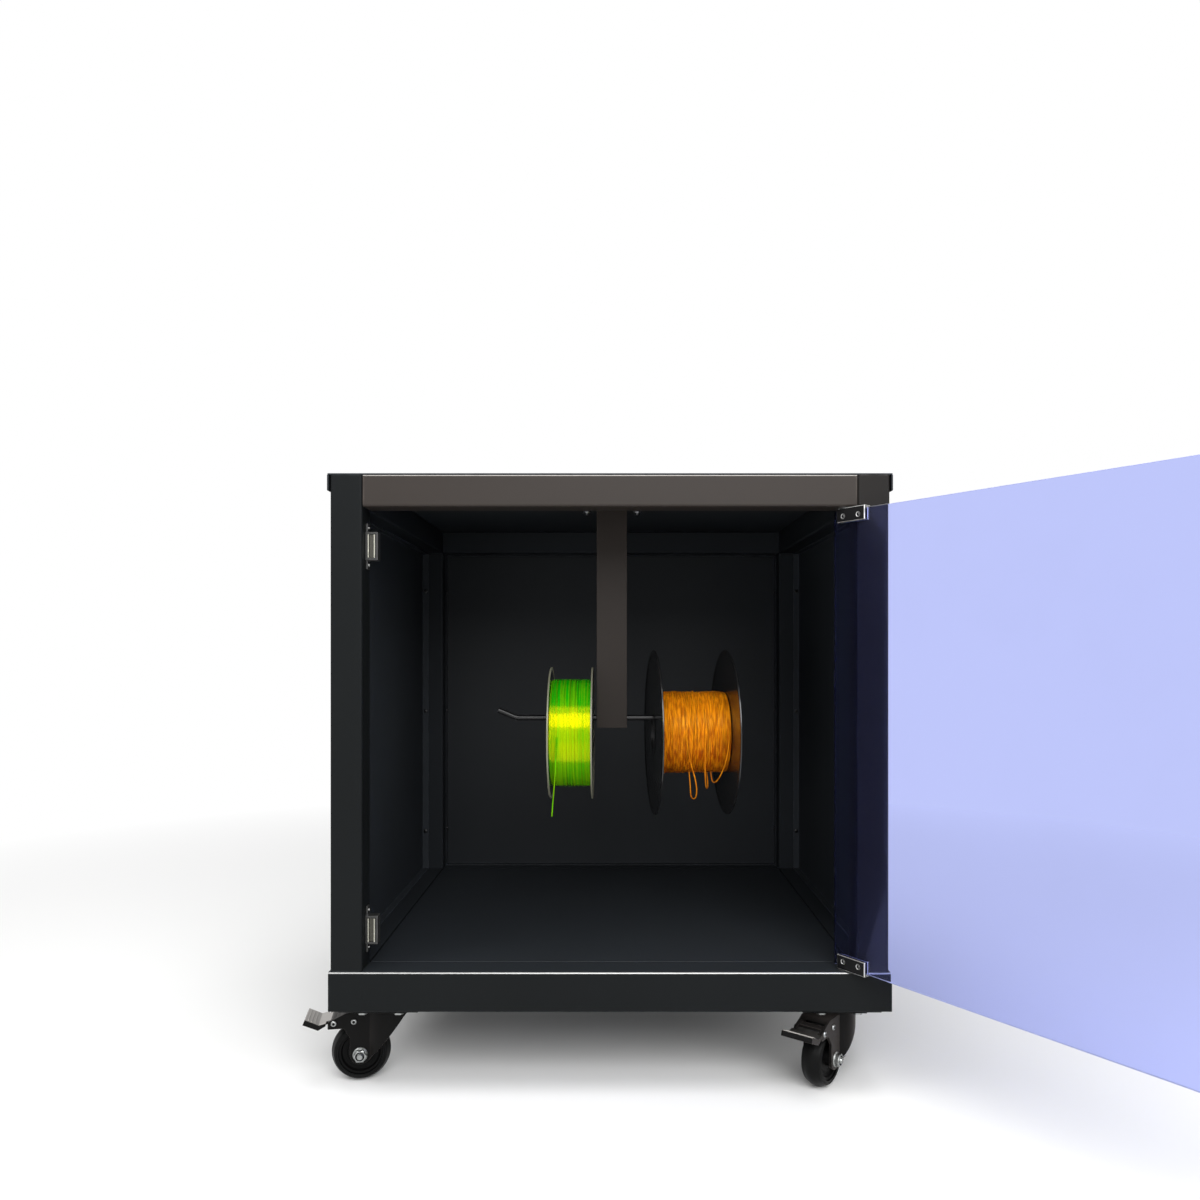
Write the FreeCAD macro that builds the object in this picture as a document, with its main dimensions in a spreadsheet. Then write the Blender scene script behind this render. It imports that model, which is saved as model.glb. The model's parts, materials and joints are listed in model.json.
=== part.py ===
import FreeCAD, Part
import math
import os
import re
import Sketcher

# Filament dryer box: a cabinet of steel tube and sheet on four swivel casters, with a tinted
# clear door on pivot hinges and two filament spools hanging on a bracket inside.
# Millimetres and degrees. The origin is on the floor under the middle of the cabinet,
# +X is to the right seen from the door side, +Y to the back and +Z up.

SIZES = {
    # Tube frame
    "cabinet_width": 700,
    "cabinet_depth": 600,
    "frame_height": 622,
    "post_width": 40,
    "tube_wall": 1.5,
    "tube_corner": 3,
    "base_height": 50,
    "base_overhang": 2,
    "caster_height": 105,
    "corner_plate_size": 100,
    "corner_plate_wall": 4,
    # Sheet panels and their screws
    "sheet_wall": 1.5,
    "panel_recess": 1.5,
    "panel_flange": 12,
    "panel_gap": 0.3,
    "floor_flange": 20,
    "floor_gap": 0.8,
    "top_wall": 2,
    "lip_drop": 20,
    "lip_gap": 2,
    "screw_margin": 70,
    "screw_radius": 1.9,
    "screw_head_radius": 3.5,
    "screw_head_height": 2,
    "screw_clearance": 0.1,
    # Door and its pivot hinges
    "door_wall": 5,
    "door_side_gap": 3,
    "door_open_angle": 125,
    "pivot_inset": 16,
    "pivot_depth": 9,
    "hinge_gap": 1.5,
    "clamp_length": 44,
    "clamp_height": 18,
    "clamp_wall": 3,
    "clamp_tail": 6,
    "clamp_fit": 0.1,
    "pin_radius": 3,
    "pin_length": 12,
    "running_fit": 0.05,
    "bush_radius": 5,
    "bush_length": 8,
    "bush_flange_radius": 7,
    "bush_flange_wall": 1.2,
    "set_screw_radius": 2.4,
    "set_screw_pitch": 24,
    "knob_inset": 38,
    "knob_radius": 11,
    "knob_length": 20,
    "knob_stud_radius": 2.5,
    # Magnetic catches
    "catch_margin": 48,
    "case_width": 16,
    "case_depth": 14,
    "case_height": 36,
    "ear_wall": 2.5,
    "ear_height": 11,
    "ear_depth": 11,
    "pole_wall": 1.5,
    "pole_height": 29.6,
    "pole_proud": 1.2,
    "magnet_width": 6,
    "catch_gap": 0.3,
    "strike_width": 11,
    "strike_height": 36,
    "strike_wall": 1.5,
    # Spool hanger
    "hanger_offset": 2,
    "hanger_width": 44,
    "hanger_depth": 26,
    "hanger_wall": 2,
    "hanger_length": 332.5,
    "rod_setback": 207,
    "rod_rise": 14,
    "rod_radius": 4,
    "rod_left_reach": 140,
    "rod_tip_length": 29,
    "rod_tip_angle": 23,
    "rod_stop_length": 12,
    "rod_bend": 25,
    "foot_width": 100,
    "foot_depth": 140,
    "foot_wall": 4,
    "foot_bolt_across": 76,
    "foot_bolt_along": 118,
    "foot_bolt_radius": 3,
    "foot_nut_radius": 5.8,
    "foot_nut_height": 5,
    "guide_setback": 95,
    "guide_radius": 7,
    "guide_bore_radius": 3,
    "guide_flange_radius": 11,
    "guide_flange_wall": 3,
    # Spools
    "spool_slack": 0.6,
    "wound_gap": 0.3,
    "green_gap": 5,
    "green_width": 63,
    "green_diameter": 192,
    "green_flange": 2.5,
    "green_core_diameter": 84,
    "green_bore": 53,
    "green_wound_diameter": 157,
    "orange_gap": 37.5,
    "orange_width": 109,
    "orange_diameter": 240,
    "orange_flange": 3,
    "orange_core_diameter": 76,
    "orange_bore": 51,
    "orange_wound_diameter": 119,
    "orange_yaw": 4,
    "strand_diameter": 1.75,
    # Casters
    "caster_inset": 60,
    "wheel_diameter": 75,
    "wheel_width": 26,
    "wheel_trail": 33,
    "core_radius": 28,
    "hub_radius": 10,
    "rim_wall": 4,
    "web_wall": 14.8,
    "tyre_round": 7,
    "fork_wall": 3.5,
    "fork_gap": 32,
    "fork_end_radius": 13,
    "fork_brow": 17,
    "fork_arm": 21,
    "fork_cheek": 12,
    "fork_heel": 27,
    "fork_skirt": 4,
    "fork_back_drop": 27,
    "fork_drum_radius": 29,
    "race_radius": 26,
    "race_height": 6,
    "swivel_gap": 0.4,
    "kingpin_radius": 6,
    "kingpin_head_radius": 10,
    "kingpin_head_height": 4,
    "plate_length": 90,
    "plate_width": 66,
    "plate_wall": 3,
    "plate_bolt_along": 70,
    "plate_bolt_across": 46,
    "plate_bolt_radius": 4,
    "axle_radius": 4,
    "plate_bolt_head": 3.5,
    "nut_corner_radius": 8.5,
    "nut_height": 7,
    "bolt_head_height": 5,
    "pedal_out": 33,
    "pedal_up": 42,
    "pedal_pin_radius": 2.5,
    "pedal_width": 42,
    "pedal_barrel_radius": 4.5,
    "pedal_boss": 7.5,
    "pedal_wall": 4,
    "pedal_heel": 8,
    "pedal_root": 9.5,
    "pedal_bend": 18,
    "pedal_reach": 36,
    "pedal_rise": 7,
    "pedal_dip": 3,
    "pedal_toe": 2.5,
    "pedal_lip": 7,
    "pedal_lift": 8,
    "pedal_side_gap": 1,
    "stop_pin_out": 8,
    "stop_pin_up": 43,
    "stop_pin_radius": 2.5,
    # Headings in which the four casters trail
    "heading_front_left": 190,
    "heading_front_right": 232,
    "heading_rear_left": 152,
    "heading_rear_right": 24,
}

# Lengths that follow from the sizes above
FOLLOWS = {
    "half_width": "cabinet_width / 2",
    "half_depth": "cabinet_depth / 2",
    "base_top": "caster_height + base_height",
    "frame_top": "base_top + frame_height",
    "opening_half": "half_width - post_width",
    "opening_top": "frame_top - post_width",
    "inner_depth": "half_depth - post_width",
    "base_half_width": "half_width + base_overhang",
    "base_half_depth": "half_depth + base_overhang",
    "base_rail_width": "post_width + base_overhang",
    "screw_low": "base_top + screw_margin",
    "screw_high": "opening_top - screw_margin",
    "screw_middle": "(base_top + opening_top) / 2",
    "screw_hole": "screw_radius + screw_clearance",
    "screw_inset": "panel_recess + sheet_wall / 2 + panel_flange / 2",
    "top_half": "half_width + lip_gap + top_wall",
    "top_face": "frame_top + top_wall",
    "pivot_x": "opening_half - pivot_inset",
    "pivot_y": "pivot_depth - half_depth",
    "door_turn": "180 + door_open_angle",
    "door_tail": "pivot_inset - door_side_gap",
    "door_reach": "pivot_x + opening_half - door_side_gap",
    "door_half": "door_wall / 2",
    "door_top": "opening_top - hinge_gap - clamp_wall",
    "door_bottom": "base_top + hinge_gap + clamp_wall",
    "door_middle": "(door_top + door_bottom) / 2",
    "clamp_half": "door_half + clamp_fit + clamp_wall",
    "catch_front": "pivot_y + door_half + strike_wall + catch_gap + pole_proud",
    "catch_high": "opening_top - catch_margin",
    "catch_low": "base_top + catch_margin",
    "pole_depth": "case_depth * 0.55",
    "hanger_bottom": "frame_top - hanger_length",
    "rod_y": "rod_setback - half_depth",
    "rod_z": "hanger_bottom + rod_rise",
    "guide_y": "rod_y + guide_setback",
    "green_x": "hanger_offset - hanger_width / 2 - green_gap - green_width / 2",
    "green_z": "rod_z + rod_radius + spool_slack - green_bore / 2",
    "orange_x": "hanger_offset + hanger_width / 2 + orange_gap + orange_width / 2",
    "orange_z": "rod_z + rod_radius + spool_slack - orange_bore / 2",
    "caster_x": "base_half_width - caster_inset",
    "caster_y": "base_half_depth - caster_inset",
    "caster_top": "caster_height - corner_plate_wall",
    "plate_bottom": "caster_top - plate_wall",
    "race_bottom": "plate_bottom - race_height",
    "fork_top": "race_bottom - swivel_gap",
    "fork_width": "fork_gap + 2 * fork_wall",
    "wheel_radius": "wheel_diameter / 2",
    "bolt_hole": "plate_bolt_radius + screw_clearance",
    "pedal_x": "wheel_trail + pedal_out",
    "pedal_z": "wheel_radius + pedal_up",
    "pedal_fall": "(pedal_rise + pedal_dip) / (pedal_bend + pedal_heel)",
    "pedal_root_rise": "pedal_rise - pedal_fall * (pedal_root + pedal_heel)",
    "fork_back": "fork_top - fork_skirt - wheel_radius - fork_cheek",
    "fork_slant": "(wheel_trail - fork_heel + race_radius) / fork_back",
}

PLANES = {"X": "YZ_Plane", "Y": "XZ_Plane", "Z": "XY_Plane"}
ALONG = {
    "X": FreeCAD.Rotation(FreeCAD.Vector(0, 1, 0), 90),
    "Y": FreeCAD.Rotation(FreeCAD.Vector(1, 0, 0), -90),
    "Z": FreeCAD.Rotation(),
}
UPRIGHT = FreeCAD.Vector(0, 0, 1)

doc = FreeCAD.newDocument("filament_dryer_box")
sheet = doc.addObject("Spreadsheet::Sheet", "sizes")
for row, (alias, number) in enumerate(SIZES.items(), 1):
    sheet.set(f"A{row}", alias)
    sheet.set(f"B{row}", str(number))
    sheet.setAlias(f"B{row}", alias)
doc.recompute()

nodes = []


def sheet_text(text):
    """Spells out an expression so that it refers to the sheet's cells."""
    def spell(match):
        word = match.group(0)
        if word in FOLLOWS:
            return f"({sheet_text(FOLLOWS[word])})"
        if word in SIZES:
            return f"sizes.{word}"
        return word
    return re.sub(r"[A-Za-z_]\w*", spell, str(text))


def size(text):
    """The present value of an expression."""
    return float(sheet.evalExpression(sheet_text(text)))


def bind(feature, **expressions):
    """Binds properties of a feature to expressions."""
    for name, text in expressions.items():
        feature.setExpression(name, sheet_text(text))
    return feature


def place(feature, x=0, y=0, z=0, turn=None, rotation=None):
    """Puts a feature at a bound position, turned about the vertical by a bound angle."""
    if turn is not None:
        rotation = FreeCAD.Rotation(UPRIGHT, size(turn))
    feature.Placement = FreeCAD.Placement(FreeCAD.Vector(), rotation or FreeCAD.Rotation())
    for axis, text in zip("xyz", (x, y, z)):
        feature.setExpression(f"Placement.Base.{axis}", sheet_text(text))
    if turn is not None:
        feature.setExpression("Placement.Rotation.Angle", sheet_text(turn))
    return feature


def node(feature, label):
    """Records a finished sub-part under its own label."""
    feature.Label = label
    nodes.append(feature)
    return feature


def box(x, y, z, length, width, height):
    made = doc.addObject("Part::Box", "block")
    bind(made, Length=length, Width=width, Height=height)
    return place(made, x, y, z)


def centred_box(x, y, z, length, width, height):
    """A box with its middle at x and y, standing on z."""
    return box(f"{x} - ({length}) / 2", f"{y} - ({width}) / 2", z, length, width, height)


def cylinder(x, y, z, radius, height, run="Z"):
    made = doc.addObject("Part::Cylinder", "round")
    bind(made, Radius=radius, Height=height)
    return place(made, x, y, z, rotation=ALONG[run])


def hexagon(x, y, z, radius, height, run="Z"):
    made = doc.addObject("Part::Prism", "hexagon")
    made.Polygon = 6
    bind(made, Circumradius=radius, Height=height)
    return place(made, x, y, z, rotation=ALONG[run])


def fuse(*pieces):
    made = doc.addObject("Part::MultiFuse", "joined")
    made.Shapes = list(pieces)
    made.Refine = True
    return made


def cut(base, *tools):
    made = doc.addObject("Part::Cut", "cut")
    made.Base = base
    made.Tool = tools[0] if len(tools) == 1 else fuse(*tools)
    return made


def group(*pieces):
    """Separate solids that share one node."""
    made = doc.addObject("Part::Compound", "group")
    made.Links = list(pieces)
    return made


def new_body(name):
    return doc.addObject("PartDesign::Body", name)


def new_sketch(body, run):
    """A sketch on the body's own plane across the given axis."""
    sketch = body.newObject("Sketcher::SketchObject", f"{body.Name}_sketch")
    plane = next(item for item in body.Origin.OriginFeatures if item.Role == PLANES[run])
    sketch.AttachmentSupport = [(plane, "")]
    sketch.MapMode = "FlatFace"
    return sketch


def hold(sketch, element, point, axis, text):
    """Holds a sketch point at a bound distance from the sketch's origin."""
    reach = size(text)
    if abs(reach) < 1e-9:
        line = -2 if axis == "X" else -1
        sketch.addConstraint(Sketcher.Constraint("PointOnObject", element, point, line))
        return
    ends = (-1, 1, element, point) if reach > 0 else (element, point, -1, 1)
    number = sketch.addConstraint(Sketcher.Constraint(f"Distance{axis}", *ends, abs(reach)))
    signed = text if reach > 0 else f"-({text})"
    sketch.setExpression(f"Constraints[{number}]", sheet_text(signed))


def outline(sketch, corners):
    """A closed outline with each corner at a pair of expressions."""
    points = [FreeCAD.Vector(size(x), size(y), 0) for x, y in corners]
    first = sketch.GeometryCount
    for start, end in zip(points, points[1:] + points[:1]):
        sketch.addGeometry(Part.LineSegment(start, end), False)
    for number in range(len(points)):
        following = first + (number + 1) % len(points)
        sketch.addConstraint(Sketcher.Constraint("Coincident", first + number, 2, following, 1))
    for number, (x, y) in enumerate(corners):
        hold(sketch, first + number, 1, "X", x)
        hold(sketch, first + number, 1, "Y", y)


def ring(sketch, x, y, radius):
    centre = FreeCAD.Vector(size(x), size(y), 0)
    number = sketch.addGeometry(Part.Circle(centre, FreeCAD.Vector(0, 0, 1), size(radius)), False)
    rule = sketch.addConstraint(Sketcher.Constraint("Radius", number, size(radius)))
    sketch.setExpression(f"Constraints[{rule}]", sheet_text(radius))
    hold(sketch, number, 3, "X", x)
    hold(sketch, number, 3, "Y", y)


def rectangle(left, low, right, high):
    return [(left, low), (right, low), (right, high), (left, high)]


def pad(body, sketch, length, backwards=False):
    made = body.newObject("PartDesign::Pad", f"{body.Name}_pad")
    made.Profile = sketch
    made.Reversed = backwards
    bind(made, Length=length)
    doc.recompute()
    return made


def round_edges(body, feature, edges, radius):
    made = body.newObject("PartDesign::Fillet", f"{body.Name}_rounding")
    made.Base = (feature, edges)
    bind(made, Radius=radius)
    doc.recompute()
    return made


def corner_edges(shape, run):
    """Names of the outer corner edges that run along an axis."""
    low = (shape.BoundBox.XMin, shape.BoundBox.YMin, shape.BoundBox.ZMin)
    high = (shape.BoundBox.XMax, shape.BoundBox.YMax, shape.BoundBox.ZMax)
    across = [number for number, axis in enumerate("XYZ") if axis != run]
    names = []
    for number, edge in enumerate(shape.Edges, 1):
        middle = edge.CenterOfMass
        if all(min(middle[i] - low[i], high[i] - middle[i]) < 0.01 for i in across):
            names.append(f"Edge{number}")
    return names


def square_tube(name, run, wide, high, length):
    """A hollow tube with rounded corners, running along one axis from its own origin."""
    body = new_body(name)
    sketch = new_sketch(body, run)
    outline(sketch, rectangle("0", "0", wide, high))
    inner = (f"{wide} - tube_wall", f"{high} - tube_wall")
    outline(sketch, rectangle("tube_wall", "tube_wall", *inner))
    solid = pad(body, sketch, length, backwards=(run == "Y"))
    round_edges(body, solid, corner_edges(solid.Shape, run), "tube_corner")
    return body


def turned(name, run, corners):
    """A turned piece about X or Y, from (along, radius) corners, or about Z the same way."""
    body = new_body(name)
    sketch = new_sketch(body, "Y" if run == "Z" else "Z")
    points = corners if run == "X" else [(radius, along) for along, radius in corners]
    outline(sketch, points)
    made = body.newObject("PartDesign::Revolution", f"{name}_turning")
    made.Profile = sketch
    made.ReferenceAxis = (sketch, ["H_Axis" if run == "X" else "V_Axis"])
    made.Angle = 360
    doc.recompute()
    return body


def turned_ring(name, run, start, end, inner, outer):
    return turned(name, run, [(start, inner), (end, inner), (end, outer), (start, outer)])


def swept(points, radius, bends):
    """A round bar along straight runs that tangent arcs join."""
    edges = []
    start = points[0]
    for before, corner, after, bend in zip(points, points[1:], points[2:], bends):
        back = (before - corner).normalize()
        ahead = (after - corner).normalize()
        half_turn = (math.pi - back.getAngle(ahead)) / 2
        leave = corner + back * (bend * math.tan(half_turn))
        join = corner + ahead * (bend * math.tan(half_turn))
        inward = (back + ahead).normalize()
        middle = corner + inward * (bend / math.cos(half_turn) - bend)
        edges.append(Part.LineSegment(start, leave).toShape())
        edges.append(Part.Arc(leave, middle, join).toShape())
        start = join
    edges.append(Part.LineSegment(start, points[-1]).toShape())
    path = Part.Wire(edges)
    heading = (points[1] - points[0]).normalize()
    section = Part.Wire([Part.makeCircle(radius, points[0], heading)])
    solid = path.makePipeShell([section], True, False)
    whole = math.pi * radius ** 2 * path.Length
    if abs(solid.Volume - whole) > 0.01 * whole:
        raise RuntimeError("a swept bar lost part of its length")
    return solid


def strand(name, routes):
    """Loose filament, a solid for each route of points about the middle of its spool."""
    radius = size("strand_diameter / 2")
    solids = []
    for route in routes:
        points = [FreeCAD.Vector(*point) for point in route]
        bends = []
        for before, corner, after in zip(points, points[1:], points[2:]):
            half_turn = (math.pi - (before - corner).getAngle(after - corner)) / 2
            shorter = min((before - corner).Length, (after - corner).Length)
            bends.append(0.45 * shorter / math.tan(half_turn))
        print(name, "bend radii", [round(bend, 1) for bend in bends])
        solids.append(swept(points, radius, bends))
    made = doc.addObject("Part::Feature", name)
    made.Shape = solids[0] if len(solids) == 1 else Part.makeCompound(solids)
    return made


def frame_nodes():
    posts = {}
    for side, x in (("left", "-half_width"), ("right", "opening_half")):
        for end, y in (("front", "-half_depth"), ("rear", "inner_depth")):
            tube = square_tube(f"{side}_{end}_post_tube", "Z", "post_width", "post_width", "frame_height")
            posts[side, end] = place(tube, x, y, "base_top")
    node(posts["left", "front"], "left_front_post")
    node(posts["right", "front"], "right_front_post")
    node(group(posts["left", "rear"], posts["right", "rear"]), "rear_posts")

    top_across = {}
    base_across = {}
    ends = (("front", "-half_depth", "-base_half_depth"), ("rear", "inner_depth", "inner_depth"))
    for end, top_y, base_y in ends:
        rail = square_tube(f"top_{end}_tube", "X", "post_width", "post_width", "2 * opening_half")
        top_across[end] = place(rail, "-opening_half", top_y, "opening_top")
        rail = square_tube(f"base_{end}_tube", "X", "base_rail_width", "base_height", "2 * base_half_width")
        place(rail, "-base_half_width", base_y, "caster_height")
        caps = [box(x, f"{base_y} + tube_wall", "caster_height + tube_wall", "tube_wall",
                    "base_rail_width - 2 * tube_wall", "base_height - 2 * tube_wall")
                for x in ("-base_half_width", "base_half_width - tube_wall")]
        base_across[end] = fuse(rail, *caps)
    bush = ("pivot_x", "pivot_y")
    hole = cylinder(*bush, "opening_top - tube_wall", "bush_radius + clamp_fit", "3 * tube_wall")
    node(cut(top_across["front"], hole), "top_front_rail")
    hole = cylinder(*bush, "base_top - 2 * tube_wall", "bush_radius + clamp_fit", "3 * tube_wall")
    node(cut(base_across["front"], hole), "base_front_rail")
    node(top_across["rear"], "top_rear_rail")
    node(base_across["rear"], "base_rear_rail")

    top_along = []
    base_along = []
    sides = (("left", "-half_width", "-base_half_width"), ("right", "opening_half", "opening_half"))
    for side, top_x, base_x in sides:
        rail = square_tube(f"top_{side}_tube", "Y", "post_width", "post_width", "2 * inner_depth")
        top_along.append(place(rail, top_x, "-inner_depth", "opening_top"))
        rail = square_tube(f"base_{side}_tube", "Y", "base_rail_width", "base_height", "2 * inner_depth")
        base_along.append(place(rail, base_x, "-inner_depth", "caster_height"))
    node(group(*top_along), "top_side_rails")
    node(group(*base_along), "base_side_rails")


def screw(x, y, z, run, inwards, grip):
    """A pan-head screw whose head seats at the given point, with its shank the other way."""
    along = {"X": (1, 0), "Y": (0, 1)}[run]
    head_start = "0" if inwards > 0 else "screw_head_height"
    shank_start = grip if inwards > 0 else "0"
    head = cylinder(f"{x} - {along[0]} * {head_start}", f"{y} - {along[1]} * {head_start}", z,
                    "screw_head_radius", "screw_head_height", run)
    shank = cylinder(f"{x} - {along[0]} * ({shank_start})", f"{y} - {along[1]} * ({shank_start})", z,
                     "screw_radius", grip, run)
    return fuse(head, shank)


def panel_nodes():
    screws = []
    wall = "sheet_wall"
    tall = "opening_top - base_top - 2 * panel_gap"
    low = "base_top + panel_gap"
    deep = "2 * inner_depth - 2 * panel_gap"
    wide = "2 * opening_half - 2 * panel_gap"
    heights = ("screw_low", "screw_middle", "screw_high")
    grip = "sheet_wall + panel_gap"

    for side, sign in (("left", -1), ("right", 1)):
        outside = "-half_width + panel_recess" if sign < 0 else "half_width - panel_recess - panel_flange"
        inside = f"{outside} + {wall}" if sign < 0 else f"{outside} - {wall}"
        tray = box(outside, "-inner_depth + panel_gap", low, "panel_flange", deep, tall)
        hollow = box(inside, f"-inner_depth + panel_gap + {wall}", f"{low} + {wall}",
                     "panel_flange", f"{deep} - 2 * {wall}", f"{tall} - 2 * {wall}")
        middle = f"{sign} * (half_width - screw_inset)"
        holes = [cylinder(middle, "-inner_depth", z, "screw_hole", "2 * inner_depth", "Y") for z in heights]
        node(cut(tray, hollow, *holes), f"{side}_side_panel")
        for z in heights:
            screws.append(screw(middle, f"-inner_depth + {grip}", z, "Y", 1, grip))
            screws.append(screw(middle, f"inner_depth - ({grip})", z, "Y", -1, grip))

    behind = "half_depth - panel_recess - panel_flange"
    tray = box("-opening_half + panel_gap", behind, low, wide, "panel_flange", tall)
    hollow = box(f"-opening_half + panel_gap + {wall}", f"{behind} - {wall}", f"{low} + {wall}",
                 f"{wide} - 2 * {wall}", "panel_flange", f"{tall} - 2 * {wall}")
    middle = "half_depth - screw_inset"
    holes = [cylinder("-opening_half", middle, z, "screw_hole", "2 * opening_half", "X") for z in heights]
    node(cut(tray, hollow, *holes), "back_panel")
    for z in heights:
        screws.append(screw(f"-opening_half + {grip}", middle, z, "X", 1, grip))
        screws.append(screw(f"opening_half - ({grip})", middle, z, "X", -1, grip))

    floor_wide = "2 * opening_half - 2 * floor_gap"
    floor_deep = "2 * inner_depth - 2 * floor_gap"
    under = "base_top - floor_flange"
    tray = box("-opening_half + floor_gap", "-inner_depth + floor_gap", under,
               floor_wide, floor_deep, "floor_flange")
    hollow = box(f"-opening_half + floor_gap + {wall}", f"-inner_depth + floor_gap + {wall}",
                 f"{under} - {wall}",
                 f"{floor_wide} - 2 * {wall}", f"{floor_deep} - 2 * {wall}", "floor_flange")
    grip = "sheet_wall + floor_gap"
    height = "base_top - floor_flange * 0.55"
    spots = ("-inner_depth * 0.7", "inner_depth * 0.7")
    holes = [cylinder("-opening_half", y, height, "screw_hole", "2 * opening_half", "X") for y in spots]
    node(cut(tray, hollow, *holes), "floor_panel")
    for y in spots:
        screws.append(screw(f"-opening_half + {grip}", y, height, "X", 1, grip))
        screws.append(screw(f"opening_half - ({grip})", y, height, "X", -1, grip))
    node(group(*screws), "panel_screws")

    sheet_top = box("-top_half", "-half_depth", "frame_top", "2 * top_half", "cabinet_depth", "top_wall")
    holes = [cylinder(x, y, "frame_top - top_wall", "foot_bolt_radius + screw_clearance", "4 * top_wall")
             for x, y in foot_bolts()]
    holes.append(cylinder("hanger_offset", "guide_y", "frame_top - top_wall",
                          "guide_radius + clamp_fit", "4 * top_wall"))
    node(cut(sheet_top, *holes), "top_plate")
    lips = [box(x, "-half_depth", "frame_top - lip_drop", "top_wall", "cabinet_depth", "lip_drop")
            for x in ("-top_half", "top_half - top_wall")]
    node(group(*lips), "top_plate_lips")


def foot_bolts():
    """Positions of the bolts that hold the hanger's foot to the top plate."""
    return [(f"hanger_offset + {i} * foot_bolt_across / 2", f"rod_y + {j} * foot_bolt_along / 2")
            for i in (-1, 1) for j in (-1, 1)]


def hanger_nodes():
    body = new_body("hanger_channel")
    sketch = new_sketch(body, "Z")
    side = "hanger_width / 2"
    face = "hanger_depth / 2"
    inner_side = f"{side} - hanger_wall"
    inner_face = f"hanger_wall - {face}"
    outline(sketch, [(f"-{side}", f"-{face}"), (side, f"-{face}"), (side, face), (inner_side, face),
                     (inner_side, inner_face), (f"-({inner_side})", inner_face),
                     (f"-({inner_side})", face), (f"-{side}", face)])
    pad(body, sketch, "hanger_length - foot_wall")
    foot = new_sketch(body, "Z")
    bind(foot, **{"AttachmentOffset.Base.z": "hanger_length - foot_wall"})
    outline(foot, rectangle("-foot_width / 2", "-foot_depth / 2", "foot_width / 2", "foot_depth / 2"))
    pad(body, foot, "foot_wall")
    place(body, "hanger_offset", "rod_y", "hanger_bottom")
    rod_hole = cylinder("hanger_offset - hanger_width", "rod_y", "rod_z",
                        "rod_radius + running_fit", "2 * hanger_width", "X")
    bolt_holes = [cylinder(x, y, "frame_top - 2 * foot_wall", "foot_bolt_radius + screw_clearance",
                           "3 * foot_wall") for x, y in foot_bolts()]
    node(cut(body, rod_hole, *bolt_holes), "spool_hanger")

    bolts = []
    nut_top = "frame_top - foot_wall"
    for x, y in foot_bolts():
        bolts.append(cylinder(x, y, f"{nut_top} - foot_nut_height - 3", "foot_bolt_radius",
                              "foot_wall + top_wall + foot_nut_height + 2.8"))
        nut = hexagon(x, y, f"{nut_top} - foot_nut_height", "foot_nut_radius", "foot_nut_height")
        bore = cylinder(x, y, f"{nut_top} - 2 * foot_nut_height", "foot_bolt_radius + running_fit",
                        "3 * foot_nut_height")
        bolts.append(cut(nut, bore))
    node(group(*bolts), "hanger_bolts")

    angle = math.radians(size("rod_tip_angle"))
    rise = FreeCAD.Vector(math.cos(angle), 0, math.sin(angle))
    tip = rise * size("rod_tip_length")
    left = FreeCAD.Vector(-size("rod_left_reach"), 0, 0)
    right = FreeCAD.Vector(size("orange_x - hanger_offset + orange_width / 2 + 5"), 0, 0)
    left_end = left + FreeCAD.Vector(-tip.x, 0, tip.z)
    rod = doc.addObject("Part::Feature", "bent_rod")
    rod.Shape = swept([left_end, left, right, right + rise * size("rod_stop_length")],
                      size("rod_radius"), [size("rod_bend")] * 2)
    place(rod, "hanger_offset", "rod_y", "rod_z")
    node(rod, "spool_rod")

    flange = "guide_flange_wall"
    guide = turned("guide", "Z", [("0", "guide_bore_radius"), ("0", "guide_flange_radius"),
                                  (flange, "guide_flange_radius"), (flange, "guide_radius"),
                                  (f"{flange} + top_wall - clamp_fit", "guide_radius"),
                                  (f"{flange} + top_wall - clamp_fit", "guide_bore_radius")])
    place(guide, "hanger_offset", "guide_y", f"frame_top - {flange}")
    node(guide, "filament_guide")


def spool_nodes(name, yaw, routes):
    """One spool with its filament, about the middle of the spool."""
    spot = (f"{name}_x", "rod_y", f"{name}_z")
    half = f"{name}_width / 2"
    inner = f"{half} - {name}_flange"
    bore = f"{name}_bore / 2"
    rim = f"{name}_diameter / 2"
    core = f"{name}_core_diameter / 2"
    flanges = [turned_ring(f"{name}_left_flange", "X", f"-{half}", f"-({inner})", bore, rim),
               turned_ring(f"{name}_right_flange", "X", inner, half, bore, rim)]
    both = group(*flanges)
    node(place(both, *spot, turn=yaw), f"{name}_spool_flanges")
    tube = turned_ring(f"{name}_tube", "X", f"-({inner})", inner, bore, core)
    node(place(tube, *spot, turn=yaw), f"{name}_spool_core")
    wound = turned_ring(f"{name}_wound", "X", f"-({inner} - wound_gap)", f"{inner} - wound_gap",
                        f"{core} + clamp_fit", f"{name}_wound_diameter / 2")
    node(place(wound, *spot, turn=yaw), f"{name}_filament")
    loose = strand(f"{name}_strand", routes)
    node(place(loose, *spot, turn=yaw), f"{name}_loose_strand")


def door_place(feature):
    return place(feature, "pivot_x", "pivot_y", 0, turn="door_turn")


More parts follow.
